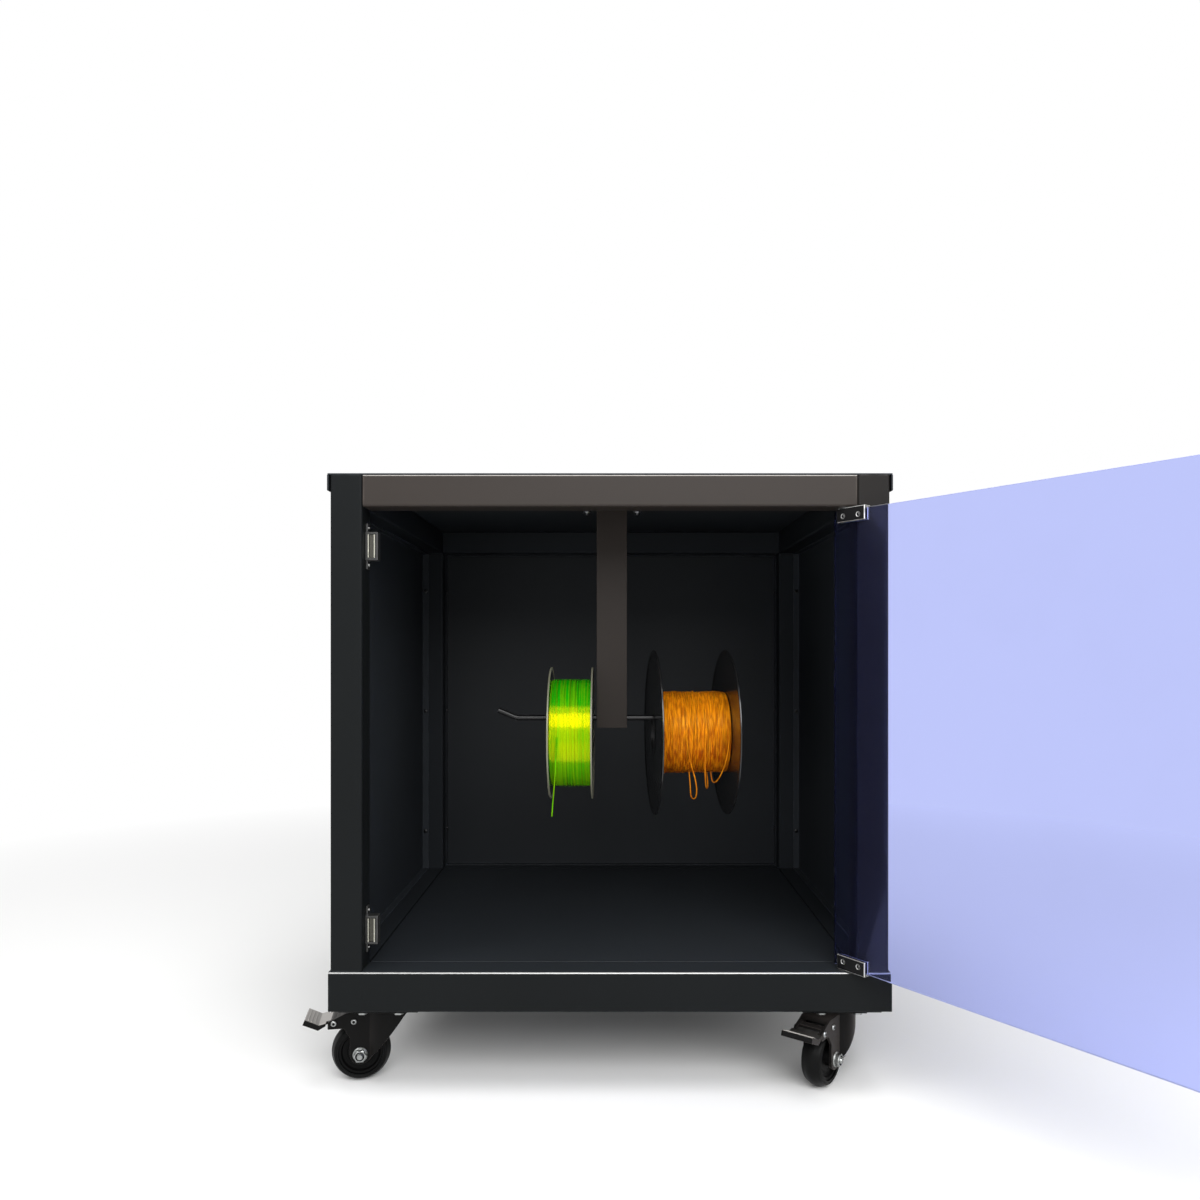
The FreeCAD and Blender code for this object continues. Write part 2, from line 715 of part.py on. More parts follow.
def door_nodes():
    knob_x = "door_reach - knob_inset"
    sheet_box = box("-door_tail", "-door_half", "door_bottom", "door_tail + door_reach", "door_wall",
                    "door_top - door_bottom")
    hole = cylinder(knob_x, "-door_wall", "door_middle", "knob_stud_radius + clamp_fit", "2 * door_wall", "Y")
    node(door_place(cut(sheet_box, hole)), "door_panel")

    pins = []
    set_screws = []
    leg = "clamp_height - clamp_wall"
    for end, edge, up in (("upper", "door_top", 1), ("lower", "door_bottom", -1)):
        low = f"{edge} - ({leg})" if up > 0 else f"{edge} - clamp_wall"
        slot_low = f"{low} - 1" if up > 0 else f"{edge} - clamp_fit"
        block = box("-clamp_tail", "-clamp_half", low, "clamp_length", "2 * clamp_half", "clamp_height")
        slot = box("-clamp_tail - 1", "-(door_half + clamp_fit)", slot_low, "clamp_length + 2",
                   "door_wall + 2 * clamp_fit", f"{leg} + 1 + clamp_fit")
        screw_z = f"{edge} - {up} * ({leg}) / 2"
        screw_spots = [f"clamp_length / 2 - clamp_tail + {i} * set_screw_pitch / 2" for i in (-1, 1)]
        holes = [cylinder(x, "-clamp_half - 1", screw_z, "set_screw_radius + screw_clearance",
                          "clamp_wall + 2", "Y") for x in screw_spots]
        node(door_place(cut(block, slot, *holes)), f"{end}_hinge_clamp")
        for x in screw_spots:
            plug = cylinder(x, "-clamp_half - 0.6", screw_z,
                            "set_screw_radius", "clamp_wall + clamp_fit + 0.5", "Y")
            socket = hexagon(x, "-clamp_half - 1", screw_z, "set_screw_radius * 0.58", "2.2", "Y")
            set_screws.append(cut(plug, socket))
        pin_low = f"{edge} + clamp_wall" if up > 0 else f"{edge} - clamp_wall - pin_length"
        pins.append(cylinder("0", "0", pin_low, "pin_radius", "pin_length"))
    node(door_place(group(*pins)), "hinge_pins")
    node(door_place(group(*set_screws)), "hinge_set_screws")

    strikes = [box("door_reach - strike_width - 0.5", "-door_half - strike_wall", f"{z} - strike_height / 2",
                   "strike_width", "strike_wall", "strike_height") for z in ("catch_high", "catch_low")]
    node(door_place(group(*strikes)), "strike_plates")

    face = "door_half"
    tip = f"{face} + knob_length"
    knob = turned("knob", "Y", [("-door_half - 4.5", "0"), ("-door_half - 4.5", "knob_stud_radius"),
                                (face, "knob_stud_radius"), (face, "knob_radius * 0.8"),
                                (f"{face} + 2.5", "knob_radius * 0.8"), (f"{face} + 7", "knob_radius * 0.5"),
                                (f"{tip} - 9", "knob_radius * 0.55"), (f"{tip} - 5.5", "knob_radius"),
                                (f"{tip} - 1.5", "knob_radius"), (tip, "knob_radius * 0.8"), (tip, "0")])
    place(knob, knob_x, 0, "door_middle")
    nut = hexagon(knob_x, "-door_half - 3.2", "door_middle", "knob_stud_radius * 1.85", "3.2", "Y")
    bore = cylinder(knob_x, "-door_half - 5", "door_middle", "knob_stud_radius + running_fit", "8", "Y")
    node(door_place(group(knob, cut(nut, bore))), "door_knob")

    bushes = []
    profile = [("0", "pin_radius + running_fit"), ("0", "bush_flange_radius"),
               ("bush_flange_wall", "bush_flange_radius"), ("bush_flange_wall", "bush_radius"),
               ("bush_flange_wall + bush_length", "bush_radius"),
               ("bush_flange_wall + bush_length", "pin_radius + running_fit")]
    upper = turned("upper_bush", "Z", profile)
    bushes.append(place(upper, "pivot_x", "pivot_y", "opening_top - bush_flange_wall"))
    flipped = [(f"-({along})", radius) for along, radius in profile]
    lower = turned("lower_bush", "Z", flipped)
    bushes.append(place(lower, "pivot_x", "pivot_y", "base_top + bush_flange_wall"))
    node(group(*bushes), "hinge_bushes")


def catch_nodes():
    cases = []
    magnets = []
    screws = []
    wall_x = "-opening_half"
    middle_x = f"{wall_x} + case_width / 2"
    pocket = "magnet_width + 2 * pole_wall + 4 * clamp_fit"
    for z in ("catch_high", "catch_low"):
        low = f"{z} - case_height / 2"
        block = box(wall_x, "catch_front", low, "case_width", "case_depth", "case_height")
        ear = box(wall_x, "catch_front + case_depth - ear_depth", f"{low} - ear_height",
                  "ear_wall", "ear_depth",
                  "case_height + 2 * ear_height")
        hollow = box(f"{middle_x} - ({pocket}) / 2", "catch_front - 1", f"{z} - pole_height / 2 - clamp_fit",
                     pocket, "pole_depth + 1 + clamp_fit", "pole_height + 2 * clamp_fit")
        screw_y = "catch_front + case_depth - ear_depth / 2"
        heads = [f"{z} + {i} * (case_height + ear_height) / 2" for i in (-1, 1)]
        holes = [cylinder(f"{wall_x} - 1", screw_y, height, "screw_hole", "ear_wall + 2", "X")
                 for height in heads]
        cases.append(cut(fuse(block, ear), hollow, *holes))
        for height in heads:
            screws.append(screw(f"{wall_x} + ear_wall", screw_y, height, "X", 1, "ear_wall"))
        for i in (-1, 1):
            plate_x = f"{middle_x} + {i} * (magnet_width + pole_wall + 2 * clamp_fit) / 2 - pole_wall / 2"
            magnets.append(box(plate_x, "catch_front - pole_proud", f"{z} - pole_height / 2",
                               "pole_wall", "pole_depth + pole_proud", "pole_height"))
        magnets.append(box(f"{middle_x} - magnet_width / 2", "catch_front + 2", f"{z} - pole_height / 2",
                           "magnet_width", "pole_depth - 2", "pole_height"))
    node(group(*cases), "catch_cases")
    node(group(*magnets), "catch_magnets")
    node(group(*screws), "catch_screws")


CORNERS = {
    "front_left": ("-caster_x", "-caster_y"),
    "front_right": ("caster_x", "-caster_y"),
    "rear_left": ("-caster_x", "caster_y"),
    "rear_right": ("caster_x", "caster_y"),
}
BRAKED = ("front_left", "front_right")


def plate_bolts():
    """Positions of a caster plate's bolts about the swivel axis."""
    return [(f"{i} * plate_bolt_across / 2", f"{j} * plate_bolt_along / 2") for i in (-1, 1) for j in (-1, 1)]


def caster_mount_nodes():
    pads = []
    plates = []
    bolts = []
    for x, y in CORNERS.values():
        square = centred_box("0", "0", "caster_top",
                             "corner_plate_size", "corner_plate_size", "corner_plate_wall")
        holes = [cylinder(i, j, "caster_top - 1", "bolt_hole", "corner_plate_wall + 2")
                 for i, j in plate_bolts()]
        pads.append(place(cut(square, *holes), x, y))

        flat = centred_box("0", "0", "plate_bottom", "plate_width", "plate_length", "plate_wall")
        race = cylinder("0", "0", "race_bottom", "race_radius", "race_height")
        head_z = "fork_top - fork_wall - swivel_gap - kingpin_head_height"
        pin = cylinder("0", "0", head_z, "kingpin_radius", f"race_bottom - ({head_z})")
        head = cylinder("0", "0", head_z, "kingpin_head_radius", "kingpin_head_height")
        holes = [cylinder(i, j, "plate_bottom - 1", "bolt_hole", "plate_wall + 2") for i, j in plate_bolts()]
        plates.append(place(cut(fuse(flat, race, pin, head), *holes), x, y))

        for i, j in plate_bolts():
            head = hexagon(i, j, "plate_bottom - plate_bolt_head", "plate_bolt_radius * 1.8",
                           "plate_bolt_head")
            shank = cylinder(i, j, "plate_bottom", "plate_bolt_radius",
                             "plate_wall + corner_plate_wall - 0.2")
            bolts.append(place(fuse(head, shank), x, y))
    node(group(*pads), "corner_plates")
    node(group(*plates), "caster_plates")
    node(group(*bolts), "caster_bolts")


def lifted(out, up):
    """A point of the pedal, given out and up from its pin, once the pedal is turned up about the pin."""
    return (f"pedal_x + ({out}) * cos(pedal_lift) - ({up}) * sin(pedal_lift)",
            f"pedal_z + ({out}) * sin(pedal_lift) + ({up}) * cos(pedal_lift)")


def caster_nodes(corner):
    """One caster, trailing along its own +X from the swivel axis."""
    x, y = CORNERS[corner]
    heading = f"heading_{corner}"
    braked = corner in BRAKED

    body = new_body(f"{corner}_fork_block")
    for step in range(2):
        sketch = new_sketch(body, "Y")
        bind(sketch, **{"AttachmentOffset.Base.z": "fork_width / 2"})
        if step == 0:
            outline(sketch, [("-race_radius", "fork_top"), ("wheel_trail + fork_brow", "fork_top"),
                             ("pedal_x + pedal_boss", "pedal_z + pedal_boss / 4"),
                             ("pedal_x + pedal_boss", "pedal_z - pedal_boss"),
                             ("wheel_trail + fork_arm", "pedal_z - pedal_boss"),
                             ("wheel_trail + fork_end_radius", "pedal_z - pedal_boss - fork_cheek"),
                             ("wheel_trail + fork_end_radius", "wheel_radius"),
                             ("wheel_trail - fork_end_radius * 0.7", "wheel_radius - fork_end_radius * 0.7"),
                             ("wheel_trail - fork_heel", "wheel_radius + fork_cheek"),
                             ("-race_radius", "fork_top - fork_skirt")])
        else:
            ring(sketch, "wheel_trail", "wheel_radius", "fork_end_radius")
        pad(body, sketch, "fork_width", backwards=True)
    drum = cylinder("0", "0", "0", "fork_drum_radius", "fork_top")
    bore = cylinder("0", "0", "-fork_wall", "fork_drum_radius - fork_wall", "fork_top")
    wedge = new_body(f"{corner}_fork_wedge")
    sketch = new_sketch(wedge, "Y")
    bind(sketch, **{"AttachmentOffset.Base.z": "2 * fork_drum_radius"})
    outline(sketch, [("-3 * race_radius", "fork_top - fork_skirt + 2 * race_radius / fork_slant"),
                     ("-race_radius + (fork_top - fork_skirt + fork_wall) * fork_slant", "-fork_wall"),
                     ("-3 * race_radius", "-fork_wall")])
    pad(wedge, sketch, "4 * fork_drum_radius", backwards=True)
    slot = new_body(f"{corner}_fork_slot")
    sketch = new_sketch(slot, "Y")
    bind(sketch, **{"AttachmentOffset.Base.z": "fork_gap / 2"})
    inside = "-race_radius + 1.4 * fork_wall"
    back_z = "fork_top - fork_skirt - fork_back_drop"
    outline(sketch, [(inside, "fork_top - fork_wall"), ("4 * race_radius", "fork_top - fork_wall"),
                     ("4 * race_radius", "-fork_wall"), ("-3 * race_radius", "-fork_wall"),
                     ("-3 * race_radius", back_z), (f"{inside} + fork_back_drop * fork_slant", back_z),
                     (inside, "fork_top - fork_skirt")])
    pad(slot, sketch, "fork_gap", backwards=True)
    holes = [slot,
             cylinder("0", "0", "0", "kingpin_radius + running_fit", "caster_height"),
             cylinder("wheel_trail", "-fork_width", "wheel_radius",
                      "axle_radius + clamp_fit", "2 * fork_width", "Y")]
    if braked:
        holes.append(cylinder("pedal_x", "-fork_width", "pedal_z", "pedal_pin_radius + running_fit",
                              "2 * fork_width", "Y"))
        stop_at = ("wheel_trail + stop_pin_out", "-fork_width / 2 - pedal_side_gap",
                   "wheel_radius + stop_pin_up")
        holes.append(cylinder(*stop_at, "stop_pin_radius + clamp_fit", "2 * fork_width", "Y"))
    fork = cut(fuse(body, cut(drum, bore, wedge)), *holes)
    node(place(fork, x, y, turn=heading), f"{corner}_fork")

    shank = cylinder("wheel_trail", "-fork_width / 2", "wheel_radius", "axle_radius",
                     "fork_width + nut_height + 3", "Y")
    head = hexagon("wheel_trail", "-fork_width / 2 - bolt_head_height", "wheel_radius",
                   "nut_corner_radius", "bolt_head_height", "Y")
    nut = hexagon("wheel_trail", "fork_width / 2", "wheel_radius", "nut_corner_radius", "nut_height", "Y")
    bore = cylinder("wheel_trail", "0", "wheel_radius", "axle_radius + running_fit", "2 * fork_width", "Y")
    fixings = [fuse(shank, head), cut(nut, bore)]
    if braked:
        fixings.append(cylinder(*stop_at, "stop_pin_radius", "fork_width + 2 * pedal_side_gap", "Y"))
    axle = group(*fixings)
    node(place(axle, x, y, turn=heading), f"{corner}_axle")

    wheel_at = (f"{x} + wheel_trail * cos({heading})", f"{y} + wheel_trail * sin({heading})", "wheel_radius")
    hub = "fork_gap / 2 - 0.5"
    rim = "wheel_width / 2 - 2"
    web = "web_wall / 2"
    inner = "core_radius - rim_wall"
    half = [(hub, "axle_radius + running_fit"), (hub, "hub_radius"), (web, "hub_radius"),
            (web, inner), (rim, inner), (rim, "core_radius")]
    other = [(f"-({along})", radius) for along, radius in reversed(half)]
    core = turned(f"{corner}_core", "Y", half + other)
    node(place(core, *wheel_at, turn=heading), f"{corner}_wheel_core")

    tyre = turned_ring(f"{corner}_ring", "Y", "-wheel_width / 2", "wheel_width / 2",
                       "core_radius + running_fit", "wheel_radius")
    rims = [f"Edge{number}" for number, edge in enumerate(tyre.Shape.Edges, 1)
            if abs(edge.BoundBox.XMax - size("wheel_radius")) < 0.01 and edge.BoundBox.YLength < 0.01]
    round_edges(tyre, tyre.Tip, rims, "tyre_round")
    node(place(tyre, *wheel_at, turn=heading), f"{corner}_tyre")

    if braked:
        lever = new_body(f"{corner}_lever")
        tread = new_sketch(lever, "Y")
        bind(tread, **{"AttachmentOffset.Base.z": "pedal_width / 2"})
        outline(tread, [lifted("pedal_root", "pedal_root_rise"),
                        lifted("pedal_bend", "-pedal_dip"),
                        lifted("pedal_reach", "pedal_toe"),
                        lifted("pedal_reach + pedal_wall / 2", "pedal_toe - pedal_lip"),
                        lifted("pedal_bend", "-pedal_dip - pedal_lip"),
                        lifted("pedal_root", "pedal_root_rise - pedal_wall")])
        pad(lever, tread, "pedal_width", backwards=True)
        tongue = new_sketch(lever, "Y")
        tongue_width = "fork_gap - 2 * pedal_side_gap"
        bind(tongue, **{"AttachmentOffset.Base.z": f"({tongue_width}) / 2"})
        outline(tongue, [lifted("-pedal_heel", "pedal_rise"),
                         lifted("pedal_bend", "-pedal_dip"),
                         lifted("pedal_bend", "-pedal_dip - pedal_wall"),
                         lifted("-pedal_heel", "pedal_rise - pedal_wall")])
        pad(lever, tongue, tongue_width, backwards=True)
        barrel = cylinder("pedal_x", f"-({tongue_width}) / 2", "pedal_z",
                          "pedal_barrel_radius", tongue_width, "Y")
        pin = cylinder("pedal_x", "-fork_width / 2 - pedal_side_gap", "pedal_z", "pedal_pin_radius",
                       "fork_width + 2 * pedal_side_gap", "Y")
        pedal = fuse(lever, barrel, pin)
        node(place(pedal, x, y, turn=heading), f"{corner}_brake_pedal")


GREEN_STRAND = [
    [(-18, -79.5, 0), (-19, -80, -36), (-21.5, -79.7, -72), (-24.5, -81, -109)],
]
ORANGE_STRANDS = [
    [(-14, -60.5, 2), (-10, -61.5, -32), (1, -62, -66), (1, -52, -84), (-6, -36, -84), (-8, -26, -70),
     (-8, -22.7, -55.4)],
    [(9, -60.5, 0), (10, -61, -28), (15, -57, -56), (19, -45, -73), (22, -29, -72), (22, -19.5, -56.6)],
    [(46, -60.5, 0), (43, -61, -25), (36, -57.5, -50), (31, -46, -66), (30, -32, -69), (32, -22, -55.7)],
]

frame_nodes()
panel_nodes()
hanger_nodes()
spool_nodes("green", "0", GREEN_STRAND)
spool_nodes("orange", "orange_yaw", ORANGE_STRANDS)
door_nodes()
catch_nodes()
caster_mount_nodes()
for corner in CORNERS:
    caster_nodes(corner)
doc.recompute()

for feature in doc.Objects:
    if "Invalid" in feature.State or "Error" in feature.State:
        raise RuntimeError(f"{feature.Name} did not build: {feature.State}")
for feature in nodes:
    if feature.Shape.isNull() or not feature.Shape.isValid():
        raise RuntimeError(f"{feature.Label} has no sound shape")

os.makedirs("parts", exist_ok=True)
for feature in nodes:
    feature.Shape.exportStep(f"parts/{feature.Label}.step")
    print(feature.Label, len(feature.Shape.Solids), "solids", round(feature.Shape.Volume / 1000, 2), "cm3")
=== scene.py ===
import json
import math

import bmesh
import bpy
from bpy.props import FloatProperty, FloatVectorProperty, IntProperty, PointerProperty
from mathutils import Matrix, Vector


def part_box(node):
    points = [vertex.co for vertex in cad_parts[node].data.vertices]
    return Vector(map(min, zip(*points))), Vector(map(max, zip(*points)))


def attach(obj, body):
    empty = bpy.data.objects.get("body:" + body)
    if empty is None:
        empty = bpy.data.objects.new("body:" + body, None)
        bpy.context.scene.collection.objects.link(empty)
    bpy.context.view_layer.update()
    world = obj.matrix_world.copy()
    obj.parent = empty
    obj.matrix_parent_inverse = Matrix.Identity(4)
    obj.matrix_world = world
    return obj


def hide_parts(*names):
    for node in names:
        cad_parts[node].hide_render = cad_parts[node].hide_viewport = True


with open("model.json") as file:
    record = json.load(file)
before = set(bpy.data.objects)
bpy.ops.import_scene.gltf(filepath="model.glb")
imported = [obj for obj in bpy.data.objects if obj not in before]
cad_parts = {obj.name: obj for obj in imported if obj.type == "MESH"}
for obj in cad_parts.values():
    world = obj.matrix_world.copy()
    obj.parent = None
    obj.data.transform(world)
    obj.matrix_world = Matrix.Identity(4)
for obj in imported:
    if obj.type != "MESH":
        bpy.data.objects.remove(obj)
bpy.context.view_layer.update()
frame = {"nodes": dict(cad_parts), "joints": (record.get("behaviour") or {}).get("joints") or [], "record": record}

bl_info = {
    "name": "Filament Dryer Box",
    "version": (1, 0, 0),
    "blender": (4, 5, 0),
    "location": "View3D > Sidebar > Dryer Box",
    "description": "Finishes and details of a filament dryer cabinet on casters",
    "category": "Object",
}

JOINTS = {joint["name"]: joint for joint in frame["joints"]}
MM = 0.001
UP = Vector((0, 0, 1))
ACROSS = Vector((1, 0, 0))
FRONT = Vector((0, -1, 0))

# Distances within which points are merged or lie on a side, and the thickest that a sheet can be
MERGE = 0.002 * MM
NEAR = 0.01 * MM
THICKEST_SHEET = 50 * MM

# Angles in degrees: faces taken as one, edges that are eased, and edges shaded smooth
FLAT = 0.4
CORNER = 32
SMOOTH = 40


def operation(kind, reflected=False):
    """A method of a value that adds a Math node to its board."""
    def method(self, other):
        first, second = (other, self) if reflected else (self, other)
        made = self.board.node("ShaderNodeMath", {"operation": kind}, {0: first, 1: second})
        return Term(self.board, made.outputs[0])
    return method


class Term:
    """A value on a node board, for writing shader maths as Python."""

    def __init__(self, board, socket):
        self.board = board
        self.socket = socket

    __add__ = __radd__ = operation("ADD")
    __mul__ = __rmul__ = operation("MULTIPLY")
    __sub__ = operation("SUBTRACT")
    __rsub__ = operation("SUBTRACT", reflected=True)
    __truediv__ = operation("DIVIDE")
    __gt__ = operation("GREATER_THAN")


class Board:
    """The nodes of one material, world or geometry tree."""

    def __init__(self, tree):
        self.tree = tree

    def node(self, kind, settings=None, sockets=None):
        made = self.tree.nodes.new(kind)
        for name, value in (settings or {}).items():
            if name == "stops":
                self.set_stops(made.color_ramp, value)
            else:
                setattr(made, name, value)
        for name, value in (sockets or {}).items():
            self.feed(made.inputs[name], value)
        return made

    def feed(self, socket, value):
        if isinstance(value, Term):
            value = value.socket
        if isinstance(value, bpy.types.NodeSocket):
            self.tree.links.new(value, socket)
        else:
            socket.default_value = value

    def dress(self, shader, **sockets):
        """Feeds a shader's sockets, whose names have underscores for spaces."""
        for name, value in sockets.items():
            self.feed(shader.inputs[name.replace("_", " ")], value)

    @staticmethod
    def set_stops(ramp, stops):
        while len(ramp.elements) < len(stops):
            ramp.elements.new(0.5)
        for element, (position, shade) in zip(ramp.elements, stops):
            element.position = position
            element.color = (shade, shade, shade, 1.0)

    def coordinates(self, scale=(1, 1, 1)):
        place = self.node("ShaderNodeTexCoord").outputs["Object"]
        if tuple(scale) == (1, 1, 1):
            return place
        return self.node("ShaderNodeMapping", None, {"Vector": place, "Scale": scale}).outputs[0]

    def noise(self, scale, detail=2.0, rough=0.5, stretch=(1, 1, 1)):
        sockets = {"Vector": self.coordinates(stretch), "Scale": scale, "Detail": detail, "Roughness": rough}
        return Term(self, self.node("ShaderNodeTexNoise", None, sockets).outputs["Fac"])

    def ramp(self, value, *stops):
        return Term(self, self.node("ShaderNodeValToRGB", {"stops": stops}, {"Fac": value}).outputs["Color"])

    def attribute(self, name):
        return Term(self, self.node("ShaderNodeAttribute", {"attribute_name": name}).outputs["Fac"])

    def vector(self, kind, first, second=(0, 0, 0)):
        """A number worked out from vectors."""
        made = self.node("ShaderNodeVectorMath", {"operation": kind}, {0: first, 1: second})
        return Term(self, made.outputs["Value"])

    def mix(self, factor, first, second):
        """A blend of two colours, each given as a link or as red, green and blue."""
        first, second = (value if isinstance(value, bpy.types.NodeSocket) else (*value, 1.0)
                         for value in (first, second))
        made = self.node("ShaderNodeMix", {"data_type": "RGBA"}, {"Factor": factor, 6: first, 7: second})
        return made.outputs[2]

    def bump(self, height, distance, strength):
        sockets = {"Height": height, "Distance": distance, "Strength": strength}
        return self.node("ShaderNodeBump", None, sockets).outputs["Normal"]


def surface(name, **sockets):
    """A new material with a plain Principled surface, its board and its shader."""
    material = bpy.data.materials.new(name)
    material.use_nodes = True
    board = Board(material.node_tree)
    shader = material.node_tree.nodes["Principled BSDF"]
    board.dress(shader, **sockets)
    return material, board, shader


def scaled(colour, factor):
    return tuple(min(1.0, part * factor) for part in colour)


def powder_coat(name, colour, gloss=0.44, grain=0.06 * MM, specular=0.06, wear_and_highlight_lift=2.4, dust=0.0):
    """Powder coat: orange-peel skin, cloudy sheen, lighter eased edges and a film of dust. The lighter edges stand
    partly for wear and partly for a painted highlight along the corners.
    """
    material, board, shader = surface(name, Specular_IOR_Level=specular, Sheen_Weight=dust,
                                      Sheen_Roughness=0.45, Sheen_Tint=(1.0, 0.86, 0.80, 1.0))
    clouds = board.noise(3.5, 4.0, 0.6)
    specks = board.ramp(board.noise(1900, 1.0), (0.6, 0.0), (0.8, 0.35))
    # Eased edges are lightened, partly for wear and partly as a painted highlight along the corners.
    wear_and_highlight = board.attribute("worn_edge") * board.ramp(board.noise(55, 3.0), (0.4, 0.15), (0.65, 1.0))
    tone = board.mix(clouds, scaled(colour, 0.82), scaled(colour, 1.2))
    tone = board.mix(specks, tone, scaled(colour, 1.6))
    board.dress(shader, Base_Color=board.mix(wear_and_highlight * 0.6, tone, scaled(colour, wear_and_highlight_lift)),
                Roughness=gloss - 0.05 + 0.12 * clouds - 0.12 * wear_and_highlight,
                Normal=board.bump(board.noise(620, 2.0, 0.55), grain, 0.55))
    return material


def cut_edge_paint(name, colour, bright=(0.66, 0.66, 0.65)):
    """Black paint whose cut edges are left as bright metal."""
    material, board, shader = surface(name, Specular_IOR_Level=0.15)
    bare = board.attribute("worn_edge") * board.ramp(board.noise(140, 3.0), (0.3, 0.45), (0.5, 1.0))
    grit = board.noise(700, 2.0)
    tone = board.mix(grit, scaled(colour, 0.7), scaled(colour, 1.3))
    board.dress(shader, Base_Color=board.mix(bare, tone, bright), Metallic=bare,
                Roughness=0.4 + 0.1 * grit - 0.12 * bare, Normal=board.bump(grit, 0.04 * MM, 0.5))
    return material


def bright_steel(name, colour=(0.62, 0.63, 0.64), rough=0.3):
    """Zinc-plated steel with faint brush marks and dull patches. Faces marked as a recess are painted near black,
    as painted shade.
    """
    material, board, shader = surface(name, Metallic=1.0)
    patches = board.noise(160, 3.0)
    lines = board.noise(900, 2.0, 0.5, (1, 1, 0.12))
    tone = board.mix(patches, scaled(colour, 0.75), scaled(colour, 1.1))
    board.dress(shader, Base_Color=board.mix(board.attribute("recess"), tone, scaled(colour, 0.03)),
                Roughness=rough - 0.08 + 0.2 * patches, Normal=board.bump(lines, 0.02 * MM, 0.4))
    return material


def moulded(name, colour, gloss=0.5, grain=0.04 * MM, edge_wear_and_glint=2.6, specular=0.5):
    """Moulded plastic or rubber with a spark-eroded grain and lightened eased edges."""
    material, board, shader = surface(name, Specular_IOR_Level=specular)
    clouds = board.noise(24, 3.0)
    wear_and_highlight = board.attribute("worn_edge") * board.ramp(board.noise(120, 2.0), (0.4, 0.3), (0.7, 1.0))
    tone = board.mix(clouds, scaled(colour, 0.85), scaled(colour, 1.2))
    board.dress(shader, Base_Color=board.mix(wear_and_highlight * 0.6, tone, scaled(colour, edge_wear_and_glint)),
                Roughness=gloss - 0.05 + 0.12 * clouds,
                Normal=board.bump(board.noise(1500, 2.0), grain, 0.5))
    return material


def see_through(name, tint, rough=0.03, haze=0.0, glint=(1.0, 1.0, 1.0)):
    """Clear plastic sheet or moulding, tinted in the mass, with faint smears."""
    material, board, shader = surface(name, IOR=1.49, Transmission_Weight=1.0 - haze,
                                      Specular_Tint=(*glint, 1.0))
    smears = board.ramp(board.noise(7, 5.0, 0.65), (0.5, 0.0), (0.8, 1.0))
    board.dress(shader, Base_Color=board.mix(smears * 0.25, tint, scaled(tint, 0.93)),
                Roughness=rough + 0.05 * smears)
    return material


def wound_plastic(name, bright, deep, glint, centre, painted_light_lean=(0, 0, 0), dashes=9, ior=1.5, rough=0.3):
    """Silky filament: each turn has its own tone, which many dashes break into short flecks that stand partly for
    painted highlights. The colour leans from the deep tone to the bright one with height, as painted light and
    shade, and dark streaks are painted shade in the gaps between turns.
    """
    material, board, shader = surface(name, IOR=ior, Specular_Tint=(*glint, 1.0))
    turns = board.ramp(board.noise(1.0, 1.0, 0.5, (430, dashes, dashes)), (0.38, 0.0), (0.62, 1.0))
    along = board.noise(150, 2.0)
    # The colour leans with height, as painted light and shade.
    painted_light_drift = board.vector("DOT_PRODUCT", board.coordinates(), painted_light_lean) - centre.dot(Vector(painted_light_lean))
    share = 0.1 + 0.65 * turns + 0.3 * along + painted_light_drift
    tone = board.mix(board.ramp(share, (0.1, 0.0), (1.0, 1.0)), deep, bright)
    # Dark streaks are painted shade in the gaps between turns.
    painted_gap_shade = board.ramp(board.noise(1.0, 1.0, 0.5, (760, dashes / 2, dashes / 2)), (0.50, 0.0), (0.66, 0.6))
    board.dress(shader, Base_Color=board.mix(painted_gap_shade, tone, scaled(bright, 0.22)),
                Roughness=rough - 0.05 + 0.12 * along,
                Normal=board.bump(board.noise(1300, 1.0), 0.03 * MM, 0.4))
    return material


class Weave:
    """A geometry node tree written as calls, with named inputs."""

    def __init__(self, name, **inputs):
        self.tree = bpy.data.node_groups.new(name, "GeometryNodeTree")
        self.board = Board(self.tree)
        self.inputs = inputs
        face = self.tree.interface
        face.new_socket("Geometry", in_out="INPUT", socket_type="NodeSocketGeometry")
        for label, (kind, _) in inputs.items():
            face.new_socket(label, in_out="INPUT", socket_type=f"NodeSocket{kind}")
        face.new_socket("Geometry", in_out="OUTPUT", socket_type="NodeSocketGeometry")
        self.start = self.tree.nodes.new("NodeGroupInput")
        self.end = self.tree.nodes.new("NodeGroupOutput")

    def read(self, label):
        return self.start.outputs[label]

    def add(self, kind, settings=None, **sockets):
        named = {name.replace("_", " "): value for name, value in sockets.items()}
        return self.board.node(kind, settings, named)

    def close(self, geometry, material):
        real = self.add("GeometryNodeRealizeInstances", Geometry=geometry)
        dressed = self.add("GeometryNodeSetMaterial", Geometry=real.outputs[0], Material=material)
        self.tree.links.new(dressed.outputs[0], self.end.inputs[0])

    def bake(self, name, mesh, **changes):
        """Runs the tree on a mesh and returns its result as a plain mesh object."""
        seed = new_object(f"{name}_seed", mesh)
        modifier = seed.modifiers.new("weave", "NODES")
        modifier.node_group = self.tree
        for item in self.tree.interface.items_tree:
            if item.in_out == "INPUT" and item.name in self.inputs:
                modifier[item.identifier] = changes.get(item.name, self.inputs[item.name][1])
        bpy.context.view_layer.update()
        graph = bpy.context.evaluated_depsgraph_get()
        baked = bpy.data.meshes.new_from_object(seed.evaluated_get(graph))
        seed.modifiers.remove(modifier)
        bpy.data.objects.remove(seed)
        return new_object(name, baked)


def new_object(name, data):
    made = bpy.data.objects.new(name, data)
    bpy.context.scene.collection.objects.link(made)
    return made


